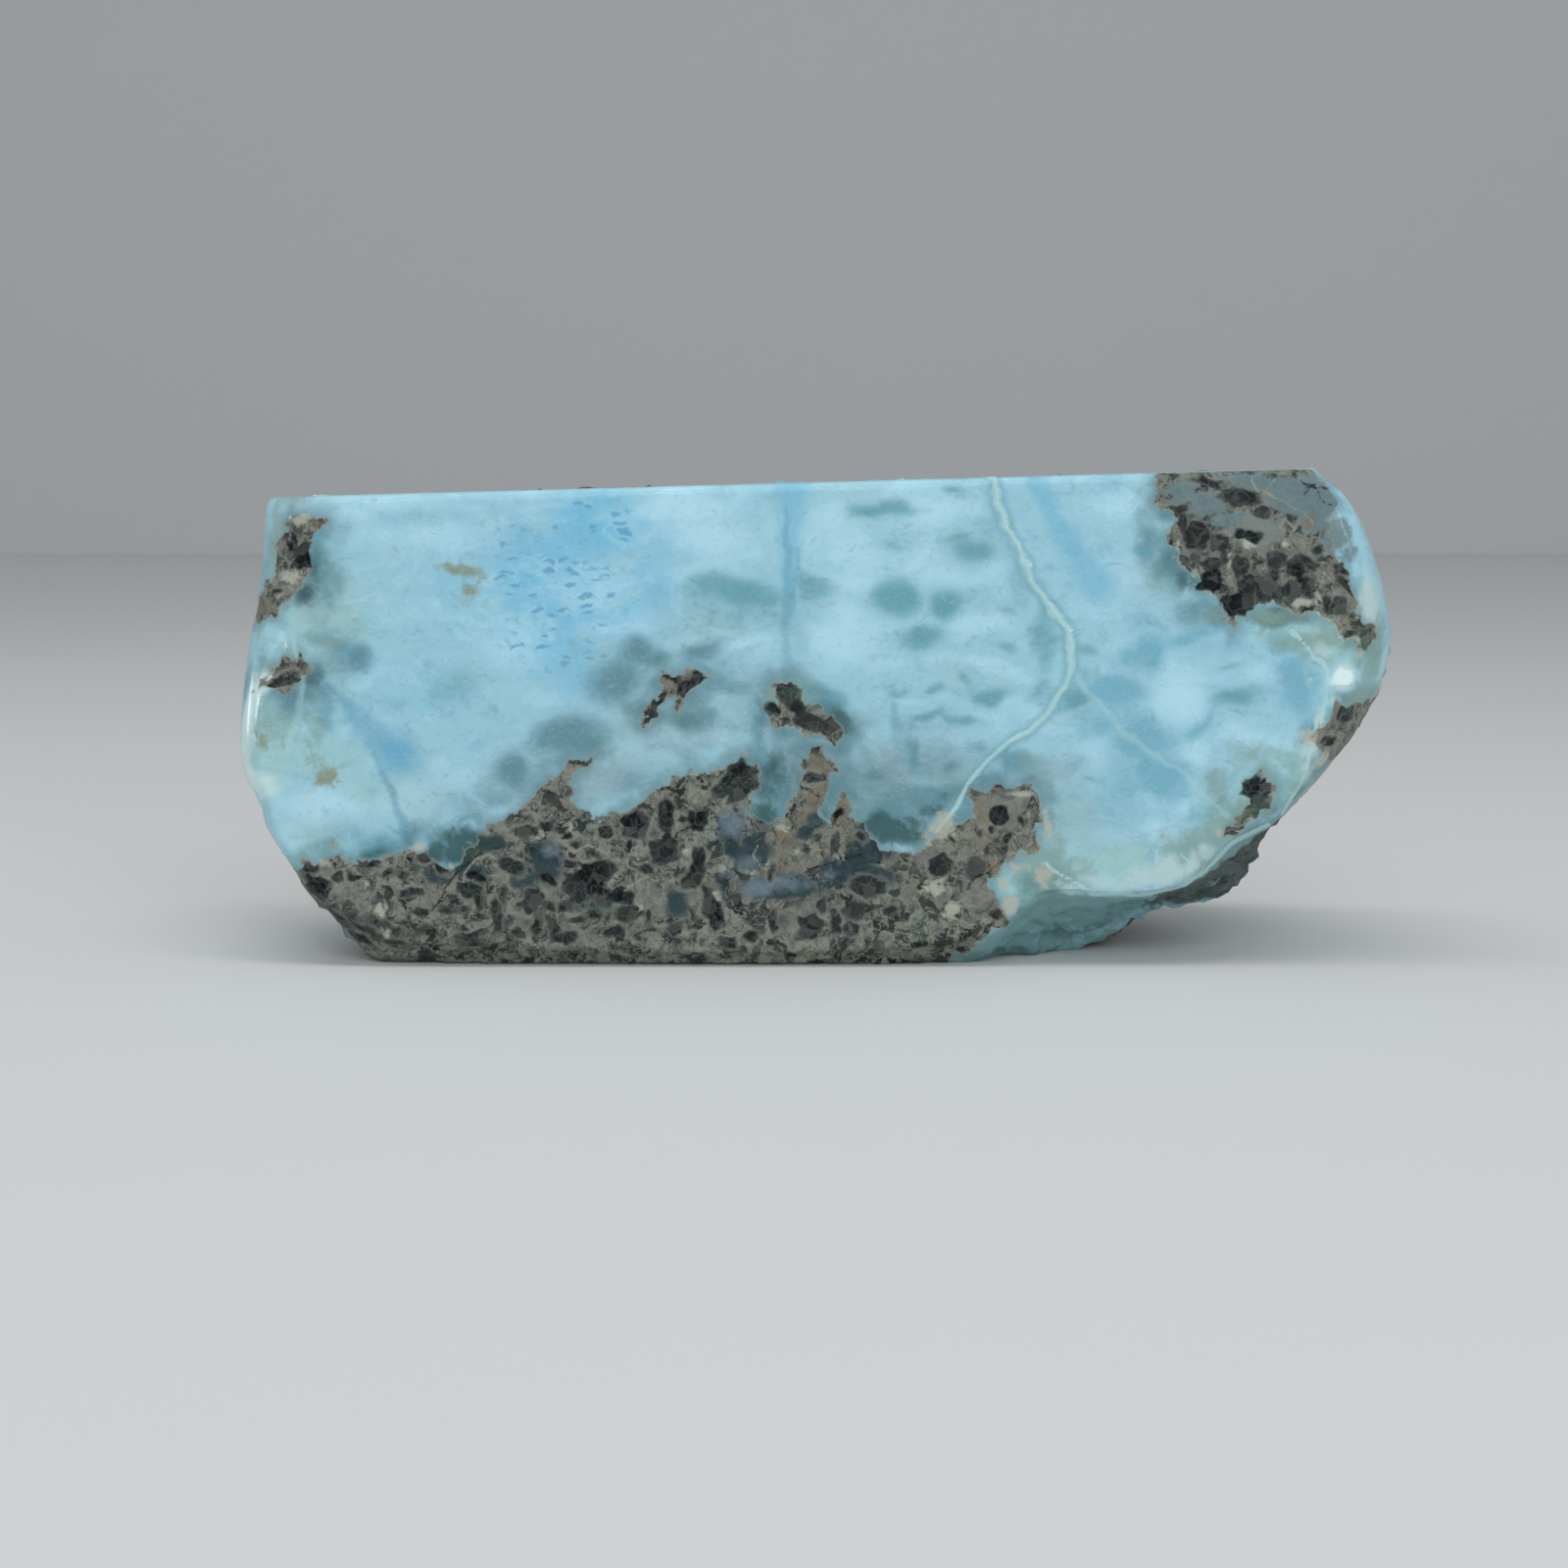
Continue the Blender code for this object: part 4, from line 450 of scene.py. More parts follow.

# Veins, cracks and rims of the front, and the painted highlights on the lens chip and along the chipped lip:
# a line's points, and its half width in mm at the first and the last
veins = {
    "cream": [
        ([(8.3, 24.3), (8.4, 23.7), (8.7, 22.6), (9.0, 21.6), (9.6, 20.5), (10.3, 19.0), (11.2, 17.8),
          (11.9, 16.8), (12.3, 15.8), (12.3, 14.8), (11.9, 13.8), (11.2, 12.6), (10.3, 11.7), (9.2, 11.1),
          (8.2, 10.2), (7.3, 9.1), (6.7, 7.9), (5.8, 6.7)], 0.19, 0.1),
    ],
    "faint": [
        ([(13.2, 13.0), (11.9, 12.4), (11.0, 11.9), (9.7, 11.3)], 0.16, 0.2),
        ([(12.3, 14.8), (13.2, 13.5), (14.6, 12.0), (15.8, 10.9), (17.6, 9.8), (19.0, 8.4),
          (20.0, 7.5)], 0.2, 0.14),
        ([(-25.6, 16.4), (-25.1, 14.6), (-25.3, 12.6), (-26.1, 10.6), (-27.2, 8.9)], 0.16, 0.2),
    ],
    "blue": [
        ([(-1.3, 24.2), (-1.4, 21.2)], 0.8, 0.5),
        ([(-1.4, 21.2), (-1.4, 19.4), (-1.5, 17.5)], 0.5, 0.25),
        ([(10.4, 23.8), (11.5, 21.8), (12.5, 20.2), (13.5, 18.8)], 0.35, 0.8),
    ],
    "thread": [
        ([(-1.6, 22.5), (-1.5, 19.4), (-1.6, 17.0), (-1.6, 13.9)], 0.08, 0.16),
        ([(-1.0, 20.5), (-1.2, 17.5)], 0.05, 0.05),
        ([(3.6, 13.0), (3.7, 11.9), (4.2, 10.9), (4.8, 9.9)], 0.1, 0.24),
        ([(-3.2, 13.0), (-3.1, 11.5), (-2.6, 10.2)], 0.16, 0.1),
    ],
    "ray": [
        ([(-24.5, 14.9), (-23.3, 13.2), (-22.1, 11.4), (-21.2, 9.4), (-20.5, 7.5), (-20.1, 6.1)], 0.12, 0.2),
        ([(-23.3, 13.2), (-22.0, 11.8), (-20.5, 10.6)], 0.3, 0.9),
        ([(-24.5, 14.4), (-24.0, 13.2), (-23.9, 12.0)], 0.2, 0.3),
        ([(-24.6, 16.3), (-23.5, 16.0), (-22.3, 15.4)], 0.3, 0.6),
    ],
    # a painted highlight: the pale crescent of gleam on the lens chip of the left end
    "lens": [
        ([(-26.7, 14.4), (-27.4, 13.3), (-28.0, 12.2), (-28.3, 10.9), (-28.2, 9.9), (-27.7, 9.2),
          (-27.2, 9.0)], 0.3, 0.6),
    ],
    "edge": [
        ([(23.0, 16.6), (23.9, 15.6), (24.8, 14.6), (24.7, 13.1), (24.1, 11.2), (23.6, 9.0),
          (22.8, 7.5)], 0.12, 0.1),
        # a painted highlight along the lower edge of the chipped lip
        ([(11.1, 5.1), (12.6, 4.1), (13.6, 3.7), (15.8, 3.5), (17.7, 3.8), (19.1, 4.7), (20.2, 6.0),
          (22.1, 7.0)], 0.1, 0.16),
        ([(14.0, 3.9), (15.0, 4.8), (16.3, 5.1), (17.2, 5.5)], 0.05, 0.05),
        ([(16.5, 5.8), (16.8, 4.8), (16.5, 3.7)], 0.07, 0.07),
        ([(17.8, 5.7), (18.4, 4.9), (18.0, 4.0)], 0.06, 0.06),
    ],
    "crack": [
        ([(-16.6, 5.7), (-17.7, 4.8), (-18.4, 3.9), (-18.6, 3.3), (-19.5, 2.4), (-20.1, 1.9),
          (-20.4, 1.3)], 0.07, 0.04),
        ([(-6.0, 7.0), (-6.3, 6.9), (-7.0, 6.6), (-7.2, 6.3)], 0.07, 0.04),
        ([(-8.2, 5.5), (-8.8, 5.3), (-9.4, 5.5)], 0.07, 0.04),
        ([(18.3, 23.9), (18.7, 23.8), (19.2, 23.5), (19.4, 23.3)], 0.07, 0.04),
        ([(23.2, 23.8), (23.9, 23.6), (24.4, 23.0), (24.9, 22.5)], 0.07, 0.04),
        ([(2.1, 5.6), (0.7, 5.3), (-0.4, 4.8), (-1.4, 4.4)], 0.07, 0.04),
        ([(-11.8, 5.2), (-11.3, 4.7), (-10.9, 4.2), (-10.4, 4.4)], 0.07, 0.04),
    ],
    "rim": [
        ([(-4.6, 8.4), (-3.8, 9.0), (-2.9, 9.7)], 0.08, 0.05),
        ([(19.4, 21.4), (19.8, 21.2), (19.9, 20.3)], 0.08, 0.05),
        ([(-4.6, 9.6), (-4.0, 10.1), (-3.2, 10.2), (-2.8, 9.8), (-3.0, 9.2)], 0.08, 0.05),
        ([(-11.8, 4.9), (-11.1, 4.4), (-10.8, 4.1)], 0.08, 0.05),
        ([(-10.7, 4.7), (-11.0, 4.1)], 0.08, 0.05),
        ([(22.3, 21.6), (22.6, 22.1), (23.0, 21.5), (22.6, 20.9), (22.3, 21.6)], 0.08, 0.05),
        ([(21.5, 23.4), (22.0, 23.0), (23.1, 22.5), (23.9, 21.7)], 0.08, 0.05),
        ([(20.8, 24.1), (21.4, 23.2), (22.0, 23.9)], 0.08, 0.05),
        ([(-17.6, 3.7), (-17.4, 4.7), (-16.8, 5.4), (-16.2, 5.6), (-15.5, 5.1), (-15.2, 4.3),
          (-15.1, 3.5)], 0.08, 0.05),
        ([(-23.6, 4.8), (-22.6, 5.3), (-20.9, 5.5), (-19.7, 5.8)], 0.08, 0.05),
        ([(-2.3, 4.8), (-2.8, 5.0), (-3.2, 5.6), (-2.9, 6.2)], 0.08, 0.05),
        ([(-9.4, 4.0), (-8.4, 4.5), (-7.7, 4.0), (-7.4, 3.3)], 0.08, 0.05),
        ([(-12.5, 6.2), (-12.0, 5.7), (-11.3, 6.1), (-10.7, 5.8), (-10.2, 5.2)], 0.08, 0.05),
        ([(-8.7, 6.1), (-9.2, 5.8), (-9.4, 5.2), (-8.9, 4.8)], 0.08, 0.05),
        ([(25.4, 18.2), (25.1, 17.6), (25.3, 16.9), (25.9, 17.2)], 0.08, 0.05),
        ([(24.4, 19.4), (24.9, 19.0), (25.1, 18.4), (24.6, 17.8)], 0.08, 0.05),
    ],
}


# Places of the marks, as distances in the plane of the front

def inMarkAxes(x, z, markX, markZ, halfLength, halfWidth, tilt):
    # how far along and across a mark a place lies, in units of its half sizes
    turn = math.radians(tilt)
    along = ((x - markX) * math.cos(turn) + (z - markZ) * math.sin(turn)) / halfLength
    across = ((z - markZ) * math.cos(turn) - (x - markX) * math.sin(turn)) / halfWidth
    return along, across


def softPatches(x, z, marks):
    total = np.zeros_like(x)
    for *mark, strength in marks:
        along, across = inMarkAxes(x, z, *mark)
        total = np.maximum(total, strength * np.exp(-(along ** 2 + across ** 2) ** 1.2))
    return total


def insideMarks(x, z, marks, sides=None):
    # mm inside the nearest mark, negative outside: an ellipse, or a shape with that many straight sides
    nearest = np.full_like(x, -1.0)
    for index, mark in enumerate(marks):
        along, across = inMarkAxes(x, z, *mark)
        if sides is None:
            radius = np.hypot(along, across)
        else:
            count = sides[index % len(sides)]
            angles = [2 * math.pi * i / count for i in range(count)]
            radius = np.max([along * math.cos(a) + across * math.sin(a) for a in angles], axis=0)
        nearest = np.maximum(nearest, (1 - radius) * min(mark[2], mark[3]))
    return nearest


def segmentDistance(x, z, start, end):
    run = np.array(end) - np.array(start)
    share = ((x - start[0]) * run[0] + (z - start[1]) * run[1]) / (run @ run)
    share = np.clip(share, 0, 1)
    return np.hypot(x - start[0] - share * run[0], z - start[1] - share * run[1]), share


def insideOutline(x, z, corners):
    distance = np.full_like(x, 9.0)
    inside = np.zeros(len(x), bool)
    for start, end in zip(corners, corners[1:] + corners[:1]):
        distance = np.minimum(distance, segmentDistance(x, z, start, end)[0])
        if start[1] != end[1]:
            crossing = start[0] + (z - start[1]) * (end[0] - start[0]) / (end[1] - start[1])
            inside ^= ((start[1] > z) != (end[1] > z)) & (x < crossing)
    return np.where(inside, distance, -distance)


def veinCloseness(x, z, lines):
    # 1 on a vein's middle line, 0 at its edge and below 0 beyond, in units of its half width
    closeness = np.full_like(x, -19.0)
    for points, firstWidth, lastWidth in lines:
        steps = len(points) - 1
        for i in range(steps):
            distance, share = segmentDistance(x, z, points[i], points[i + 1])
            width = firstWidth + (lastWidth - firstWidth) * (i + share) / steps
            closeness = np.maximum(closeness, 1 - distance / width)
    return closeness


def smoothStep(low, high, value):
    t = np.clip((value - low) / (high - low), 0, 1)
    return t * t * (3 - 2 * t)


def noiseAt(points, size, shift=0.0, octaves=1):
    # about -1 to 1. points in mm; size is the width of a lump in mm; each use has a shift of its own
    offset = Vector((shift, shift * 1.7, shift * 0.6))
    scaled = [Vector(p) / size + offset for p in points]
    if octaves == 1:
        return np.array([noise.noise(p) for p in scaled])
    return np.array([noise.fractal(p, 1.0, 2.0, octaves) for p in scaled])


# The stone's mesh: the CAD solid with a finer skin. Lengths in mm.

skin = {
    "grain": 0.4,  # spacing of the points on the back
    "smoothDepth": 6.0,  # the polish is smoothed this far back
    "fineDepth": 1.2,  # the front has twice as many points along an edge down to here
    "finestDepth": 0.8,  # and twice as many again, near basalt and the cream vein, down to here
    "edgeSpan": 0.45,  # near basalt means in it, or this far outside it
    "basaltSink": 0.05,  # the softer basalt lies this far under the polish
    "veinRise": 0.06,  # the harder cream vein stands this far out of it
    "pitDepth": 0.2,  # the open gas pits are sunk this far
    "breakRelief": 0.42,  # fine relief on the broken rock
}

# How far the marks of the front run on into the stone, in mm
carry = {
    "waver": 1.6,  # they wander sideways by up to this once they are 6 mm in
    "fading": 2.5,  # from here they fade
    "gone": 7.0,
    "veinDepth": 6.0,
    "crystalDepth": 2.0,
}

# Made-up patches that take over as they fade: width of a lump in mm, noise level at which one starts
# and is full, strength, shift and octaves of the noise
hiddenPatches = {
    "cloud": (3.0, 0.0, 0.5, 1.0, 31.0, 3),
    "sky": (6.0, -0.1, 0.4, 1.0, 37.0, 2),
    "mint": (7.0, 0.0, 0.5, 1.0, 41.0, 2),
    "rust": (1.8, 0.24, 0.55, 0.5, 43.0, 4),
    "pool": (2.4, 0.25, 0.6, 0.6, 47.0, 3),
    "slate": (2.8, 0.1, 0.5, 0.7, 59.0, 3),
}

# The shiny chip on the left end, and the small flat on the right end that catches the light: sizes in mm,
# tilt in degrees, slopes in mm of depth per mm
lensChip = {"x": -27.1, "z": 12.8, "halfHeight": 4.2, "halfWidth": 1.3, "tilt": -8, "rise": 0.3}
knob = {"x": 25.7, "z": 14.3, "radius": 1.05, "rise": 0.3, "slopeX": 0.073, "slopeZ": 0.091}

# Where the rough skin of the underside starts, seen from the front, in mm
crustOutline = [
    (15.0, -1.0), (15.3, 1.6), (16.4, 3.0), (17.2, 3.8), (18.9, 4.5), (20.2, 5.2), (21.4, 6.2), (22.4, 7.2),
    (23.6, 7.6), (26.0, 8.0), (26.0, -1.0),
]


def places(bm):
    return np.array([v.co for v in bm.verts]) / mm


def facings(bm):
    bm.normal_update()
    return np.array([v.normal for v in bm.verts])


def behindFront(at):
    return at[:, 1] - cut["frontY"] / mm


def underTop(at):
    return (cut["topHeight"] + math.tan(cut["topTilt"]) * at[:, 0] - at[:, 2]) * math.cos(cut["topTilt"])


def filledCopy(node):
    # the solid without its gas pits, which come back at the finer grain
    bm = bmesh.new()
    bm.from_mesh(bpy.data.objects[node].data)
    bmesh.ops.remove_doubles(bm, verts=bm.verts, dist=0.001 * mm)
    at = places(bm)
    depth = behindFront(at)
    # a little over half of each size, to take in the pit's rim; the first pit breaks out through
    # the stone's edge, so it stays open
    pits = [(x, z, length * 0.6, width * 0.6, tilt) for x, z, length, width, tilt in gasPits[1:]]
    inPit = insideMarks(at[:, 0], at[:, 2], pits) > -0.15
    sunk = (depth > 0.01) & (depth < 0.45) & inPit
    verts = list(bm.verts)
    bmesh.ops.delete(bm, geom=[verts[i] for i in np.nonzero(sunk)[0]], context="VERTS")
    openEdges = [e for e in bm.edges if e.is_boundary]
    bmesh.ops.holes_fill(bm, edges=openEdges, sides=0)
    bmesh.ops.recalc_face_normals(bm, faces=bm.faces)
    mesh = bpy.data.meshes.new("filledStone")
    bm.to_mesh(mesh)
    bm.free()
    return mesh


def remeshed(mesh, spacing):
    worker = bpy.data.objects.new("worker", mesh)
    bpy.context.scene.collection.objects.link(worker)
    grid = worker.modifiers.new("Remesh", "REMESH")
    grid.mode = "VOXEL"
    grid.voxel_size = spacing
    graph = bpy.context.evaluated_depsgraph_get()
    result = bpy.data.meshes.new_from_object(worker.evaluated_get(graph))
    bpy.data.objects.remove(worker)
    return result


def brokenShare(at, facing):
    # 0 on the polish and the saw cuts, 1 on the broken rock
    polish = cut["polishDepth"] * smoothStep(7.0, 11.0, at[:, 2])
    behind = smoothStep(0.3 + polish, 2.6 + polish, behindFront(at))
    onTop = smoothStep(0.25, 0.1, underTop(at)) * smoothStep(0.8, 0.95, facing[:, 2])
    onBase = smoothStep(0.25, 0.1, at[:, 2]) * smoothStep(-0.8, -0.95, facing[:, 2])
    return behind * (1 - onTop) * (1 - onBase)


def squareUp(bm):
    # puts the points near the saw cuts back on them, with a polished round between front and top
    at = places(bm)
    facing = facings(bm)
    front = behindFront(at)
    under = underTop(at)
    radius = cut["edgeRadius"]
    up = np.array([-math.sin(cut["topTilt"]), 0.0, math.cos(cut["topTilt"])])
    moved = at.copy()
    onFront = smoothStep(0.35, 0.05, front) * smoothStep(0.5, 0.9, -facing[:, 1])
    onTop = smoothStep(0.35, 0.05, under) * smoothStep(0.5, 0.9, facing @ up)
    onBase = smoothStep(0.35, 0.05, at[:, 2]) * smoothStep(0.5, 0.9, -facing[:, 2])
    moved[:, 1] -= front * onFront
    moved += up * (under * onTop)[:, None]
    moved[:, 2] *= 1 - onBase
    front, under = front * (1 - onFront), under * (1 - onTop)
    corner = (front < radius) & (under < radius) & (under > -0.1)
    away = np.stack([radius - front, radius - under], 1)
    reach = np.maximum(np.linalg.norm(away, axis=1), 1e-6)
    push = away * (radius / reach)[:, None] - away
    moved[corner, 1] -= push[corner, 0]
    moved[corner] += up * push[corner, 1][:, None]
    for vertex, place in zip(bm.verts, moved):
        vertex.co = Vector(place) * mm


def basaltEdge(x, z):
    return np.max([insideOutline(x, z, corners) for corners in basaltOutlines.values()], axis=0)


def refineWhere(bm, wanted):
    chosen = set(np.nonzero(wanted)[0])
    for index, vertex in enumerate(bm.verts):
        vertex.index = index
    edges = [e for e in bm.edges if e.verts[0].index in chosen and e.verts[1].index in chosen]
    bmesh.ops.subdivide_edges(bm, edges=edges, cuts=1, use_grid_fill=True)


def frontFields(at, facing):
    # the marks of the front carried back into the stone, wavering with depth, with made-up ones behind them
    depth = behindFront(at)
    waver = carry["waver"] * smoothStep(0.6, 6.0, depth)
    x = at[:, 0] + noiseAt(at, 4.0, 7.0) * waver
    z = at[:, 2] + noiseAt(at, 4.0, 11.0) * waver
    fineX, fineZ = noiseAt(at, 0.7, 3.0, 3) * 0.16, noiseAt(at, 0.7, 9.0, 3) * 0.16
    softX, softZ = noiseAt(at, 2.4, 17.0, 2) * 0.7, noiseAt(at, 2.4, 23.0, 2) * 0.5
    shown = smoothStep(carry["gone"], carry["fading"], depth)
    fields = {}
    for name, marks in patches.items():
        driftX, driftZ = (softX, softZ) if name in softColours else (fineX, fineZ)
        fields[name] = softPatches(x + driftX, z + driftZ, marks) * shown
    outline = insideMarks(x + fineX, z + fineZ, darkCrystals, sides=(4, 6, 5, 6))
    fields["crystal"] = np.where(depth < carry["crystalDepth"], outline, -1.0)
    # behind, basalt fills lumps 9 mm across, and more of the stone towards the back and the base
    rock = noiseAt(at, 9.0, 21.0, 4) * 5.0 + (depth - 8.0) * 0.28 + (6.0 - at[:, 2]) * 0.12
    edge = basaltEdge(x + noiseAt(at, 0.9, 5.0, 4) * 0.4, z + noiseAt(at, 0.9, 13.0, 4) * 0.4)
    # on the sawn top the basalt tapers off and breaks up behind the front edge
    taper = 0.45 * depth + noiseAt(at, 2.2, 33.0, 3) * smoothStep(0.3, 2.0, depth) * 2.4
    edge -= smoothStep(22.0, 23.5, at[:, 2]) * taper
    fields["basalt"] = np.clip(edge * shown + rock * (1 - shown), -3, 3)
    wobble = noiseAt(at, 0.9, 15.0, 3) * 0.16
    for name, lines in veins.items():
        closeness = veinCloseness(x + wobble, z + wobble, lines)
        # the lens line is a painted highlight on the chip
        if name == "lens":
            closeness -= 4 * smoothStep(0.6, 2.5, depth)  # the chip's gleam is only skin deep
        fields[name + "Line"] = np.where(depth < carry["veinDepth"], np.maximum(closeness, -3), -3.0)
    for name, (size, start, full, strength, shift, octaves) in hiddenPatches.items():
        fields[name] += (1 - shown) * strength * smoothStep(start, full, noiseAt(at, size, shift, octaves))
    # under the chipped edge on the right the stone is clear first and has a rough skin further out
    below = smoothStep(-0.1, -0.4, facing[:, 2]) * smoothStep(0.2, 0.6, depth)
    below *= smoothStep(0.0, 3.0, at[:, 0])
    fields["clear"] = np.maximum(fields["clear"], below * shown)
    skinEdge = insideOutline(x + fineX, z + fineZ, crustOutline) + noiseAt(at, 1.2, 49.0, 3) * 0.5
    skinned = smoothStep(-0.2, 0.3, skinEdge) * smoothStep(0.3, 0.8, depth)
    fields["crust"] = skinned * smoothStep(0.05, -0.1, facing[:, 2]) * shown
    return fields


def smoothedBlank():
    print("skinning the stone")
    bm = bmesh.new()
    bm.from_mesh(remeshed(filledCopy("larimar_stone"), skin["grain"] * mm))
    at = places(bm)
    broken = brokenShare(at, facings(bm))
    verts = list(bm.verts)
    polished = [verts[i] for i in np.nonzero((broken < 0.2) & (behindFront(at) < skin["smoothDepth"]))[0]]
    for group, times in ((polished, 4), (verts, 1)):
        for _ in range(times):
            bmesh.ops.smooth_vert(
                bm, verts=group, factor=0.5, use_axis_x=True, use_axis_y=True, use_axis_z=True)
    squareUp(bm)
    return bm


def refineFront(bm):
    print("refining the front")
    refineWhere(bm, behindFront(places(bm)) < skin["fineDepth"])
    at = places(bm)
    onFront = behindFront(at) < skin["finestDepth"]
    edge = np.where(onFront, basaltEdge(at[:, 0], at[:, 2]), -9)
    vein = np.where(onFront, veinCloseness(at[:, 0], at[:, 2], veins["cream"]), -9)
    refineWhere(bm, (edge > -skin["edgeSpan"]) | (vein > -1.5))
    squareUp(bm)


def pitHollows(at):
    # mm inside the nearest pit's ragged rim, negative outside
    pits = [(x, z, length / 2, width / 2, tilt) for x, z, length, width, tilt in gasPits]
    raggedX, raggedZ = noiseAt(at, 0.8, 65.0, 3) * 0.3, noiseAt(at, 0.8, 67.0, 3) * 0.3
    return insideMarks(at[:, 0] + raggedX, at[:, 2] + raggedZ, pits, sides=(5, 4, 6))


def insideLensChip(at):
    across, along = inMarkAxes(at[:, 0], at[:, 2], lensChip["x"], lensChip["z"],
                               lensChip["halfWidth"], lensChip["halfHeight"], lensChip["tilt"])
    return np.clip(1 - along ** 2 - across ** 2, 0, 1) * smoothStep(4.0, 2.0, behindFront(at))


def reliefHeight(at, fields, broken):
    inBasalt = smoothStep(-0.1, 0.3, fields["basalt"]) * (1 - broken)
    grit = noiseAt(at, 0.5, 51.0, 3) * 0.06 + noiseAt(at, 0.2, 53.0) * 0.02
    crystals = smoothStep(-0.04, 0.04, fields["crystal"])
    soft = 1 - np.clip(np.maximum(fields["pool"], fields["glass"]) * 1.5, 0, 1)
    height = -inBasalt * (skin["basaltSink"] - grit * (1 - crystals)) * soft
    height += skin["veinRise"] * smoothStep(-0.2, 0.8, fields["creamLine"]) * (1 - broken)
    height += lensChip["rise"] * np.sqrt(insideLensChip(at))
    ridges = 1 - np.abs(noiseAt(at, 1.6, 61.0, 4)) * 2
    return height + broken * skin["breakRelief"] * (ridges - 0.6 + noiseAt(at, 0.6, 63.0, 2) * 0.5)


def flattenKnob(bm, at):
    dx, dz = at[:, 0] - knob["x"], at[:, 2] - knob["z"]
    onKnob = np.exp(-((dx ** 2 + dz ** 2) / knob["radius"] ** 2) ** 3) * (behindFront(at) < 3)
    middle = at[(dx ** 2 + dz ** 2 < 0.25) & (onKnob > 0.5), 1].mean()
    flat = middle - knob["rise"] + knob["slopeX"] * dx + knob["slopeZ"] * dz
    for vertex, share, level in zip(bm.verts, onKnob, flat):
        if share > 0.01:
            vertex.co.y += share * (level * mm - vertex.co.y)


def larimarStone():
    bm = smoothedBlank()
    refineFront(bm)

    print("carving relief")
    at = places(bm)
    facing = facings(bm)
    broken = brokenShare(at, facing)
    fields = frontFields(at, facing)
    hollow = pitHollows(at)
    onFlat = behindFront(at) < 0.3
    height = reliefHeight(at, fields, broken) - skin["pitDepth"] * smoothStep(-0.03, 0.22, hollow) * onFlat
    for vertex, rise, normal in zip(bm.verts, height, facing):
        vertex.co += Vector(normal) * (rise * mm)
    flattenKnob(bm, at)
    fields["pit"] = smoothStep(-0.05, 0.1, hollow) * onFlat
    fields["broken"] = broken
    sawnTop = smoothStep(0.3, 0.1, underTop(at)) * smoothStep(0.5, 0.9, facing[:, 2])
    sawnBase = smoothStep(0.3, 0.1, at[:, 2]) * smoothStep(-0.5, -0.9, facing[:, 2])
    fields["sawn"] = np.maximum(sawnTop, sawnBase)

    mesh = bpy.data.meshes.new("larimarStone")
    bmesh.ops.triangulate(bm, faces=bm.faces)
    bm.to_mesh(mesh)
    bm.free()
    for name, values in fields.items():
        mesh.attributes.new(name, "FLOAT", "POINT").data.foreach_set("value", values.astype(np.float32))
    mesh.shade_smooth()
    mesh.set_sharp_from_angle(angle=math.radians(50))
    stone = bpy.data.objects.new("larimarStone", mesh)
    bpy.context.scene.collection.objects.link(stone)
    print("stone has", len(mesh.polygons), "triangles")
    return stone


# Materials

def colour(text):
    # sRGB hex to linear
    parts = [int(text[i:i + 2], 16) / 255 for i in (1, 3, 5)]
    return [c / 12.92 if c <= 0.04045 else ((c + 0.055) / 1.055) ** 2.4 for c in parts] + [1.0]


def addNode(tree, kind, inputs=None, **settings):
    node = tree.nodes.new(kind)
    for name, value in settings.items():
        setattr(node, name, value)
    for name, value in (inputs or {}).items():
        if isinstance(value, bpy.types.NodeSocket):
            tree.links.new(value, node.inputs[name])
        else:
            node.inputs[name].default_value = value
    return node


def painted(tree, paint, layers):
    # lays colours over each other: where one lies, where it starts and is full, what frays its edge
    # and how much, the colour, and its strength
    for where, start, full, fray, amount, over, strength in layers:
        frayed = addNode(tree, "ShaderNodeMath", {0: fray, 1: amount, 2: where}, operation="MULTIPLY_ADD")
        share = addNode(tree, "ShaderNodeMapRange", {
            "Value": frayed.outputs[0], "From Min": start + amount / 2, "From Max": full + amount / 2,
            "To Max": strength}, interpolation_type="SMOOTHSTEP")
        mixed = addNode(tree, "ShaderNodeMix", {
            0: share.outputs["Result"], 6: paint, 7: over}, data_type="RGBA")
        paint = mixed.outputs[2]
    return paint


larimarLook = {
    "aqua": "#a2d1df",
    "sky": "#82c5e2",
    "mint": "#a6cecb",
    "cloud": "#bbe6f4",
    "grey": "#90a9b2",
    "deep": "#7bb5c8",
    "teal": "#6ba5b1",
    "slate": "#65909b",
    "ink": "#3a5f62",
    "fibre": "#c6e6ee",
    "veinBlue": "#7fbfd9",
    "ray": "#62a3c0",
    "thread": "#67a0ae",
    "speckle": "#63a6cb",
    "veinCream": "#b3dadb",
    # the painted highlight on the lens chip
    "lens": "#d3eceb",
    "halo": "#557f86",
    "stain": "#8d8f6b",
    "green": "#88a79f",
    # pale milky mineral, and the painted highlight on the knob and the lens chip
    "milkAndHighlight": "#bfd9d8",
    "clear": "#6f9494",
    "glass": "#6f878a",
    "crust": "#55605d",
    "crustPale": "#768a8a",
    "ground": "#5b5f5a",
    "groundPale": "#7e8075",
    "groundGreen": "#445651",
    "groundDark": "#2c3434",
    "rim": "#969a8c",
    "shade": "#1e2627",
    "crystal": "#070b0e",
    "crystalSheen": "#1d2b33",
    "tan": "#7b786a",
    "ash": "#888a80",
    "moss": "#41604f",
    "rust": "#8a7359",
    "creamGrain": "#bcbfae",
    "pool": "#243d43",
    "navy": "#2b353b",
    "lilac": "#758791",
}


larimarRoughness = {
    "polish": 0.16,
    "dull": 0.5,
    "basalt": 0.5,
    "crystal": 0.32,
    "crust": 0.45,
    "pit": 0.8,
    "sawn": 0.4,
    "broken": 0.75,
}


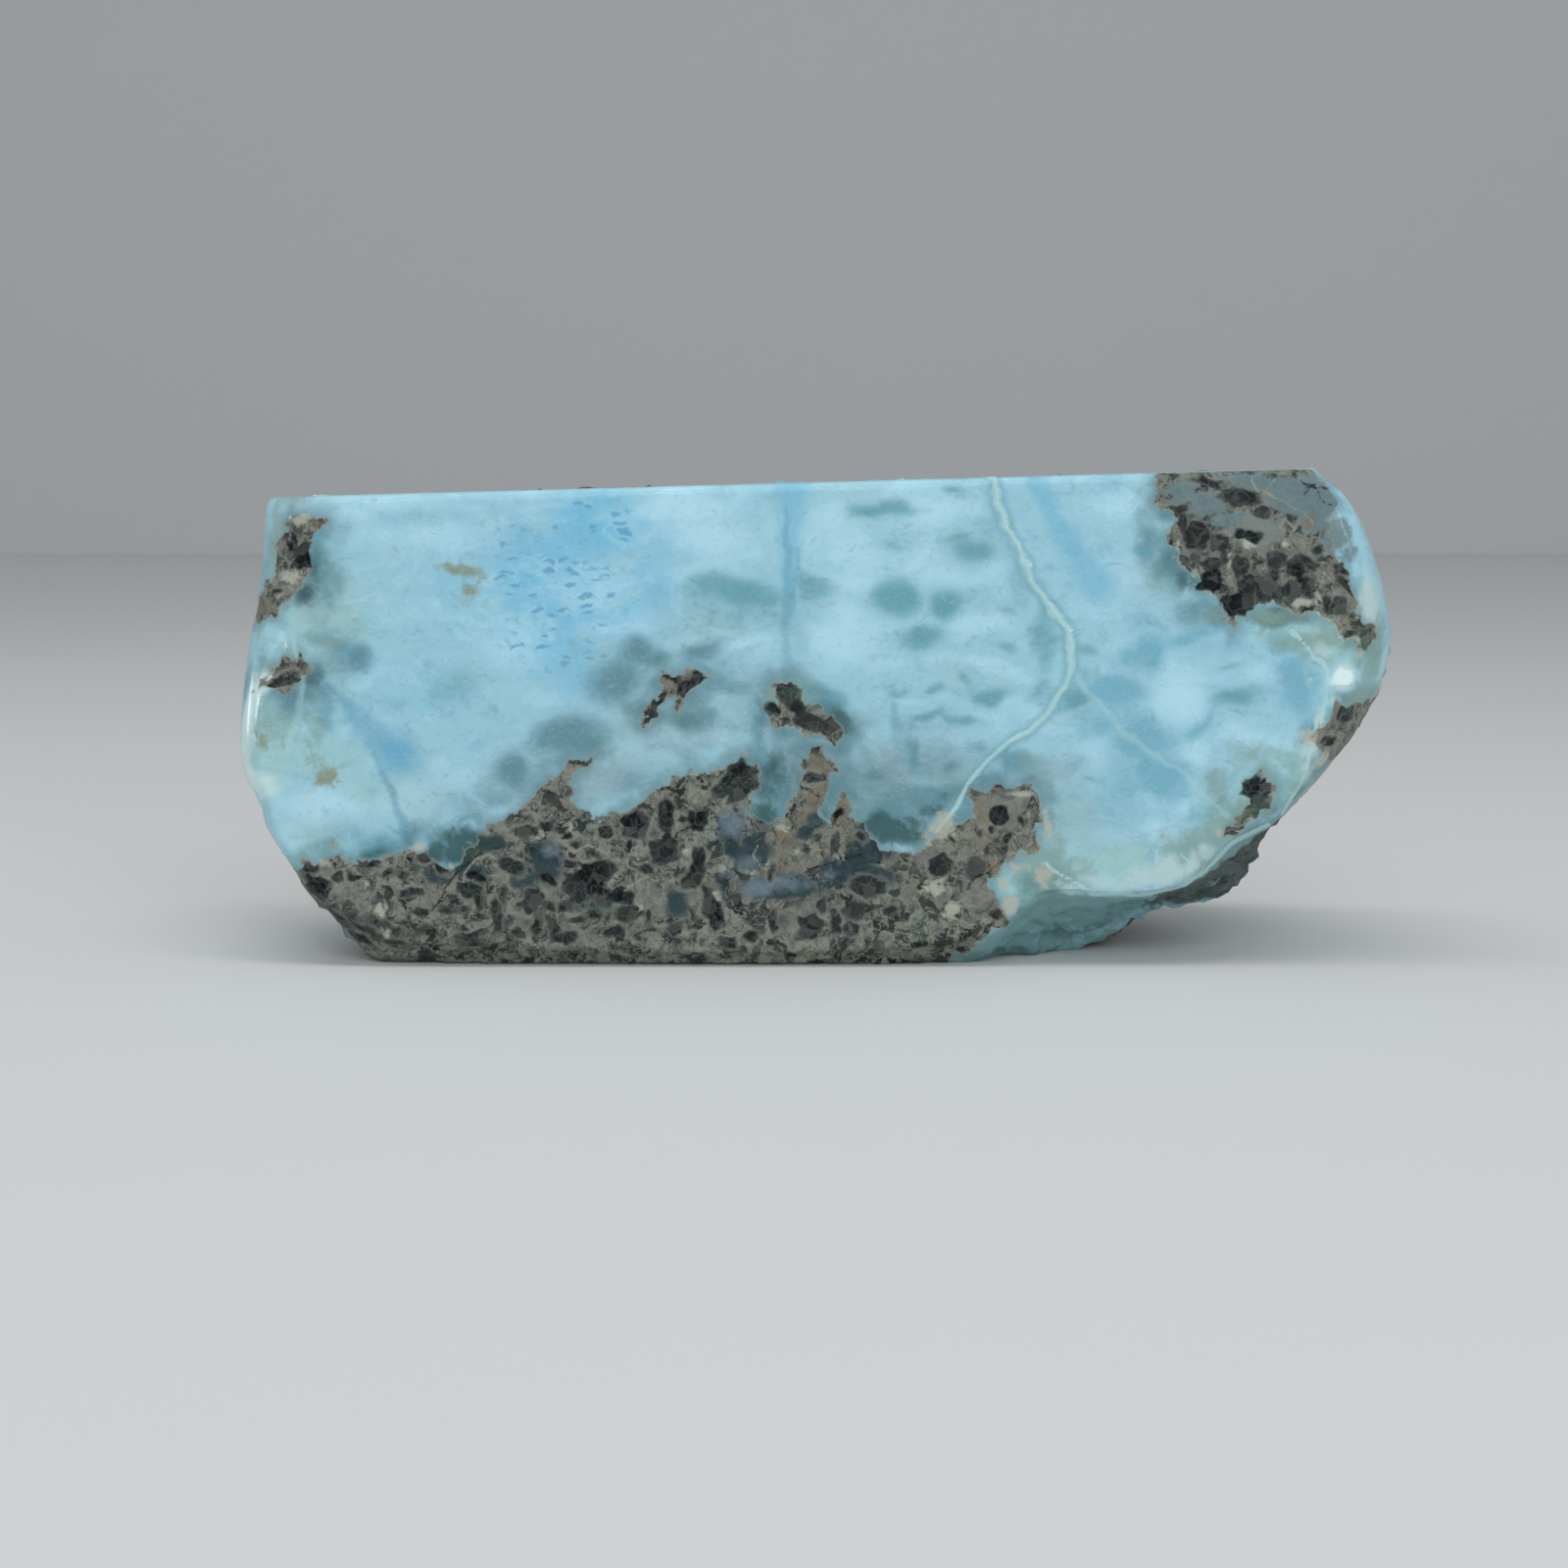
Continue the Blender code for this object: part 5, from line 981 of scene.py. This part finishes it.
def polishedPectolite():
    # Larimar: fibrous blue pectolite, lapped and polished, IOR about 1.60, in vesicular basalt that
    # stays duller than the pectolite because its soft grains pluck out under the lap.
    look = {name: colour(value) for name, value in larimarLook.items()}
    rough = {name: (value, value, value, 1) for name, value in larimarRoughness.items()}
    material = bpy.data.materials.new("polishedPectolite")
    material.use_nodes = True
    tree = material.node_tree
    tree.nodes.clear()
    here = addNode(tree, "ShaderNodeTexCoord").outputs["Object"]
    # the place in mm, and the same place swirled by up to about half a millimetre
    point = addNode(tree, "ShaderNodeMapping", {
        "Vector": here, "Scale": (1 / mm, 1 / mm, 1 / mm)}).outputs["Vector"]
    swirl = addNode(tree, "ShaderNodeTexNoise", {"Vector": point, "Scale": 1.3, "Detail": 4.0})
    swirl = addNode(tree, "ShaderNodeVectorMath", {
        0: swirl.outputs["Color"], 1: (0.9, 0.9, 0.9)}, operation="MULTIPLY")
    warped = addNode(tree, "ShaderNodeVectorMath", {
        0: point, 1: swirl.outputs[0]}, operation="ADD").outputs[0]

    mask = {}
    kinds = ["crystal", "basalt", "crust", "pit", "broken", "sawn"]
    for name in list(patches) + [vein + "Line" for vein in veins] + kinds:
        mask[name] = addNode(tree, "ShaderNodeAttribute", attribute_name=name).outputs["Fac"]

    # Noises brought to 0 to 1: where they are read, stretch in x, y, z, scale per mm, detail, distortion
    noises = {
        "big": (point, (1.0, 1.0, 1.0), 0.32, 4.0, 0.6),  # fibre clouds 3 mm across
        "mottle": (point, (0.7, 0.8, 1.2), 0.6, 3.0, 0.7),  # blotches 2 mm wide and 1 mm high
        "wisp": (point, (0.75, 0.8, 1.1), 1.1, 6.0, 1.2),  # what frays the soft edges in the larimar
        "fibre": (point, (0.8, 1.0, 1.3), 4.5, 5.0, 0.8),  # fibre bundles, 0.2 mm
        "grain": (point, (1.0, 1.0, 1.0), 5.5, 4.0, 0.0),
        "rock": (warped, (1.0, 1.0, 1.0), 1.7, 8.0, 0.8),  # what frays the edges of the basalt's minerals
        "lump": (warped, (1.0, 1.0, 1.0), 0.8, 5.0, 0.6),  # parts of the basalt 1 mm across
        "curl": (warped, (1.0, 1.0, 1.0), 1.1, 3.0, 0.9),  # thin pale seams, through a fold of its values
    }
    texture = {}
    for name, (source, stretch, scale, detail, distortion) in noises.items():
        drawn = addNode(tree, "ShaderNodeMapping", {"Vector": source, "Scale": stretch}).outputs["Vector"]
        raw = addNode(tree, "ShaderNodeTexNoise", {
            "Vector": drawn, "Scale": scale, "Detail": detail, "Roughness": 0.6, "Distortion": distortion})
        texture[name] = addNode(tree, "ShaderNodeMapRange", {
            "Value": raw.outputs["Fac"], "From Min": 0.3, "From Max": 0.7}).outputs["Result"]
    big, mottle, wisp, fibre, grain, rock, lump, curl = [texture[name] for name in noises]
    seam = addNode(tree, "ShaderNodeMath", {0: curl, 1: 0.5}, operation="PINGPONG").outputs[0]

    # Blue dashes 0.5 mm long, leaning as the fibres do, where the speckles are
    dashPlace = addNode(tree, "ShaderNodeMapping", {
        "Vector": warped, "Scale": (1.1, 1.0, 2.7), "Rotation": (0.0, -0.3, 0.0)}).outputs["Vector"]
    dash = addNode(tree, "ShaderNodeTexVoronoi", {"Vector": dashPlace, "Scale": 1.0}).outputs["Distance"]
    dashes = addNode(tree, "ShaderNodeMapRange", {"Value": dash, "From Min": 0.5, "From Max": 0.05})
    dashes = addNode(tree, "ShaderNodeMath", {
        0: dashes.outputs["Result"], 1: mask["speckle"]}, operation="MULTIPLY").outputs[0]

    larimar = painted(tree, look["aqua"], [
        (mask["sky"], 0.0, 1.0, big, 0.4, look["sky"], 1.0),
        (mask["mint"], 0.0, 1.1, big, 0.4, look["mint"], 0.9),
        (mottle, 0.5, 0.95, wisp, 0.4, look["cloud"], 0.4),
        (mottle, 0.4, 0.0, wisp, -0.3, look["deep"], 0.35),
        (mask["cloud"], 0.05, 1.0, wisp, 0.4, look["cloud"], 0.95),
        (mask["deep"], 0.05, 0.95, wisp, 0.3, look["deep"], 0.95),
        (mask["rayLine"], -0.9, 0.8, wisp, 0.5, look["ray"], 0.6),
        (mask["blueLine"], -0.8, 0.7, wisp, 0.3, look["veinBlue"], 0.7),
        (dashes, 0.15, 0.6, wisp, 0.5, look["speckle"], 0.8),
        (mask["grey"], 0.0, 1.15, wisp, 0.3, look["grey"], 0.9),
        (mask["slate"], 0.0, 1.05, wisp, 0.3, look["slate"], 0.95),
        (mask["teal"], 0.0, 1.0, wisp, 0.3, look["teal"], 0.95),
        (mask["threadLine"], -2.0, 0.9, wisp, 0.6, look["thread"], 0.42),
        (fibre, 0.55, 1.0, wisp, 0.4, look["fibre"], 0.16),
        (fibre, 0.45, 0.0, wisp, -0.4, look["thread"], 0.15),
        (mask["basalt"], -1.1, 0.0, big, 0.9, look["halo"], 0.55),
        (mask["ink"], 0.15, 0.9, rock, 0.4, look["ink"], 0.95),
        (mask["rust"], 0.1, 1.0, rock, 0.8, look["stain"], 0.8),
        (mask["green"], 0.1, 1.0, rock, 0.5, look["green"], 0.85),
        (mask["clear"], 0.1, 0.9, wisp, 0.5, look["clear"], 0.9),
        # milky mineral, and painted highlights on the knob and the lens chip
        (mask["milkAndHighlight"], 0.2, 0.85, rock, 0.5, look["milkAndHighlight"], 0.9),
        (mask["faintLine"], -0.5, 1.0, wisp, 0.6, look["veinCream"], 0.45),
        # pale lines on the right end and across the lip, among them a painted highlight along the lip's
        # lower edge
        (mask["edgeLine"], -0.4, 0.4, grain, 0.6, look["veinCream"], 0.8),
        # the lens line: a painted highlight, the pale crescent of gleam on the left end's chip
        (mask["lensLine"], -0.6, 0.6, wisp, 0.4, look["lens"], 0.9),
        # a darker teal band on both sides of the cream vein: partly the larimar's own blue, partly painted
        # shade beside the vein's raised edge
        (mask["creamLine"], -3.0, 0.0, wisp, 1.0, look["teal"], 0.5),
        (mask["creamLine"], -0.7, 0.7, wisp, 1.0, look["veinCream"], 0.85),
        (mask["glass"], 0.3, 0.75, rock, 0.5, look["glass"], 0.85),
    ])

    # Basalt: lumps of 1.2 mm and grains of 0.5 mm, grey-green or dark, in a paler groundmass, with black
    # crystals whose paler blue-grey parts are partly their own tone and partly a painted sheen, and grains
    # of their own
    cells = {}
    for name, scale in (("lumps", 0.8), ("grains", 1.8)):
        drawn = {"Vector": warped, "Scale": scale}
        tint = addNode(tree, "ShaderNodeTexVoronoi", drawn).outputs["Color"]
        cells[name] = addNode(tree, "ShaderNodeSeparateColor", {"Color": tint}).outputs
        gap = addNode(tree, "ShaderNodeTexVoronoi", drawn, feature="DISTANCE_TO_EDGE")
        cells[name + "Edge"] = gap.outputs["Distance"]
    lumps, grains = cells["lumps"], cells["grains"]
    crystal = painted(tree, look["crystal"], [
        (rock, 0.35, 0.9, grain, 0.3, look["crystalSheen"], 0.8),
        (lumps["Red"], 0.5, 0.62, grain, 0.1, look["groundDark"], 0.45),
        (grains["Green"], 0.8, 0.88, grain, 0.1, look["ground"], 0.5),
        (cells["grainsEdge"], 0.1, 0.02, rock, -0.12, look["ground"], 0.35),
    ])
    basalt = painted(tree, look["ground"], [
        (lumps["Green"], 0.6, 0.72, grain, 0.1, look["groundDark"], 0.6),
        (lumps["Blue"], 0.6, 0.72, grain, 0.1, look["groundGreen"], 0.7),
        (lump, 0.42, 0.08, rock, -0.4, look["groundDark"], 0.55),
        (cells["lumpsEdge"], 0.3, 0.02, rock, -0.3, look["groundPale"], 0.85),
        (lump, 0.5, 0.9, rock, 0.4, look["groundPale"], 0.7),
        (grains["Red"], 0.6, 0.7, grain, 0.1, look["groundPale"], 0.6),
        (grains["Green"], 0.7, 0.78, grain, 0.1, look["groundDark"], 0.85),
        (grains["Blue"], 0.86, 0.9, grain, 0.04, look["crystal"], 0.85),
        (cells["grainsEdge"], 0.06, 0.02, grain, -0.06, look["shade"], 0.4),
        (seam, 0.4, 0.49, rock, 0.1, look["rim"], 0.7),
        (rock, 0.6, 1.0, grain, 0.3, look["rim"], 0.6),
        (rock, 0.34, 0.05, grain, -0.2, look["shade"], 0.7),
        (mask["shade"], 0.3, 0.7, rock, 0.5, look["shade"], 0.85),
        (mask["navy"], 0.0, 0.9, rock, 0.5, look["navy"], 0.7),
        (mask["glass"], 0.3, 0.6, rock, 0.5, look["glass"], 0.9),
        (mask["tan"], 0.2, 0.9, rock, 0.6, look["tan"], 0.7),
        (mask["ash"], 0.1, 0.9, rock, 0.7, look["ash"], 0.7),
        (mask["rust"], 0.3, 0.9, rock, 0.7, look["rust"], 0.7),
        (mask["pool"], 0.2, 0.7, rock, 0.5, look["pool"], 0.9),
        (mask["lilac"], 0.2, 0.95, rock, 0.4, look["lilac"], 0.85),
        (mask["crystal"], -0.3, -0.04, rock, 0.34, look["ash"], 0.5),
        (mask["rimLine"], -0.1, 0.5, grain, 0.6, look["rim"], 0.8),
        (mask["crackLine"], -0.1, 0.5, grain, 0.6, look["crystal"], 0.8),
        (mask["crystal"], -0.12, 0.03, rock, 0.2, crystal, 0.95),
        (mask["moss"], 0.1, 0.9, rock, 0.6, look["moss"], 0.6),
        (mask["broken"], 0.5, 0.9, rock, 0.5, look["crust"], 0.35),
    ])
    skinRock = painted(tree, look["crust"], [
        (rock, 0.55, 1.0, wisp, 0.3, look["crustPale"], 0.8),
        (rock, 0.4, 0.0, wisp, -0.3, look["shade"], 0.8),
    ])
    base = painted(tree, larimar, [
        (mask["basalt"], -0.18, 0.0, rock, 0.4, look["rim"], 0.6),
        (mask["basalt"], -0.03, 0.06, rock, 0.4, basalt, 1.0),
        (mask["cream"], 0.3, 0.9, rock, 0.9, look["creamGrain"], 0.8),
        (mask["crust"], 0.3, 0.7, rock, 0.5, skinRock, 1.0),
        (mask["pit"], 0.0, 1.0, grain, 0.0, crystal, 0.95),
    ])
    roughness = painted(tree, rough["polish"], [
        (mask["dull"], 0.2, 0.6, grain, 0.2, rough["dull"], 1.0),
        (mask["basalt"], -0.03, 0.04, rock, 0.4, rough["basalt"], 1.0),
        (mask["crystal"], -0.12, 0.03, rock, 0.2, rough["crystal"], 1.0),
        (mask["crust"], 0.3, 0.7, rock, 0.5, rough["crust"], 1.0),
        (mask["pit"], 0.0, 0.5, grain, 0.0, rough["pit"], 1.0),
        (mask["sawn"], 0.2, 0.8, grain, 0.1, rough["sawn"], 1.0),
        (mask["broken"], 0.1, 0.6, grain, 0.3, rough["broken"], 1.0),
    ])

    # Relief, where 0.5 is level: grains of the basalt and the torn fibres of the broken faces
    level = (0.5, 0.5, 0.5, 1)
    relief = painted(tree, level, [
        (mask["basalt"], -0.03, 0.04, rock, 0.4, rock, 0.6),
        (mask["crystal"], -0.02, 0.03, grain, 0.04, level, 1.0),
        (mask["broken"], 0.1, 0.6, grain, 0.3, rock, 1.0),
    ])
    bump = addNode(tree, "ShaderNodeBump", {"Strength": 0.6, "Distance": 0.15 * mm, "Height": relief})

    shader = addNode(tree, "ShaderNodeBsdfPrincipled", {
        "Base Color": base,
        "Roughness": roughness,
        "Normal": bump.outputs["Normal"],
        "IOR": 1.6,
        "Specular IOR Level": 0.15,  # the photograph's soft light leaves little gleam on the polish
        "Subsurface Weight": 0.12,
        "Subsurface Radius": (0.8 * mm, 1.0 * mm, 1.2 * mm),
        "Subsurface Scale": 1.0,
    })
    addNode(tree, "ShaderNodeOutputMaterial", {"Surface": shader.outputs["BSDF"]})
    return material


stone = larimarStone()
print("colouring")
stone.data.materials.append(polishedPectolite())
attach(stone, "root")
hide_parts("larimar_stone")

# The setting: a pale floor, an upright pale grey wall behind it, and soft daylight

studio = {
    "floor": "#dcdcda",
    "wall": "#dcdddd",
    "wallHeight": 900.0,  # mm
    "wallPlace": 700.0,  # mm behind the stone
    "reach": 1100.0,  # mm to each side
    "sink": 0.02,  # mm that the floor lies under the stone's base
}


def studioMaterial(name, hexColour, roughness):
    material = bpy.data.materials.new(name)
    material.use_nodes = True
    shader = material.node_tree.nodes["Principled BSDF"]
    shader.inputs["Base Color"].default_value = colour(hexColour)
    shader.inputs["Roughness"].default_value = roughness
    return material


def studioSheet(name, width, depth, place, material, upright=False):
    bm = bmesh.new()
    matrix = Matrix.Translation(Vector(place) * mm)
    if upright:
        matrix = matrix @ Matrix.Rotation(math.pi / 2, 4, "X")
    bmesh.ops.create_grid(bm, x_segments=1, y_segments=1, size=0.5,
                          matrix=matrix @ Matrix.Diagonal((width * mm, depth * mm, 1.0, 1.0)))
    mesh = bpy.data.meshes.new(name)
    bm.to_mesh(mesh)
    bm.free()
    sheet = bpy.data.objects.new(name, mesh)
    bpy.context.scene.collection.objects.link(sheet)
    sheet.data.materials.append(material)


studioSheet("floor", 2 * studio["reach"], 2 * studio["reach"], (0, 0, -studio["sink"]),
            studioMaterial("mattePaperFloor", studio["floor"], 0.9))
studioSheet("wall", 2 * studio["reach"], studio["wallHeight"],
            (0, studio["wallPlace"], studio["wallHeight"] / 2 - 1),
            studioMaterial("mattePaperWall", studio["wall"], 0.95), upright=True)

lights = {
    # name: place in mm, size in mm, watts, colour
    "overhead": ((-20, -60, 320), (340, 70), 0.34, "#ffffff"),
    "frontFill": ((60, -420, 260), (400, 300), 0.75, "#f4f8ff"),
    "leftWindow": ((-260, 40, 10), (40, 60), 0.08, "#ffffff"),
    "rightWindow": ((131, -288, 44), (32, 32), 0.075, "#ffffff"),
}
for name, (place, size, watts, tint) in lights.items():
    lamp = bpy.data.lights.new(name, "AREA")
    lamp.shape = "RECTANGLE"
    lamp.size, lamp.size_y = size[0] * mm, size[1] * mm
    lamp.energy = watts
    lamp.color = colour(tint)[:3]
    holder = bpy.data.objects.new(name, lamp)
    holder.location = Vector(place) * mm
    aim = Vector((0, 0, 12)) * mm - holder.location
    holder.rotation_euler = aim.to_track_quat("-Z", "Y").to_euler()
    bpy.context.scene.collection.objects.link(holder)

world = bpy.context.scene.world or bpy.data.worlds.new("daylight")
bpy.context.scene.world = world
world.use_nodes = True
world.node_tree.nodes["Background"].inputs["Color"].default_value = colour("#e9eef2")
world.node_tree.nodes["Background"].inputs["Strength"].default_value = 0.5

camera = {
    "lens": 60.0,
    "sensor": 36.0,
    "distance": 127.0,  # mm from the polished plane
    "eyeHeight": 24.0,  # mm
    "eyeX": -1.7,  # mm
    "aimHeight": 9.1,  # mm, what stands in the middle of the picture, in the polished plane
}
lens = bpy.data.cameras.new("camera")
lens.lens = camera["lens"]
lens.sensor_width = camera["sensor"]
lens.clip_start = 0.01
lens.clip_end = 10.0
eye = bpy.data.objects.new("camera", lens)
eye.location = Vector((camera["eyeX"], cut["frontY"] / mm - camera["distance"], camera["eyeHeight"])) * mm
target = Vector((camera["eyeX"] * mm, cut["frontY"], camera["aimHeight"] * mm))
eye.rotation_euler = (target - eye.location).to_track_quat("-Z", "Y").to_euler()
bpy.context.scene.collection.objects.link(eye)
bpy.context.scene.camera = eye
bpy.context.scene.view_settings.view_transform = "Standard"

print("finishing")
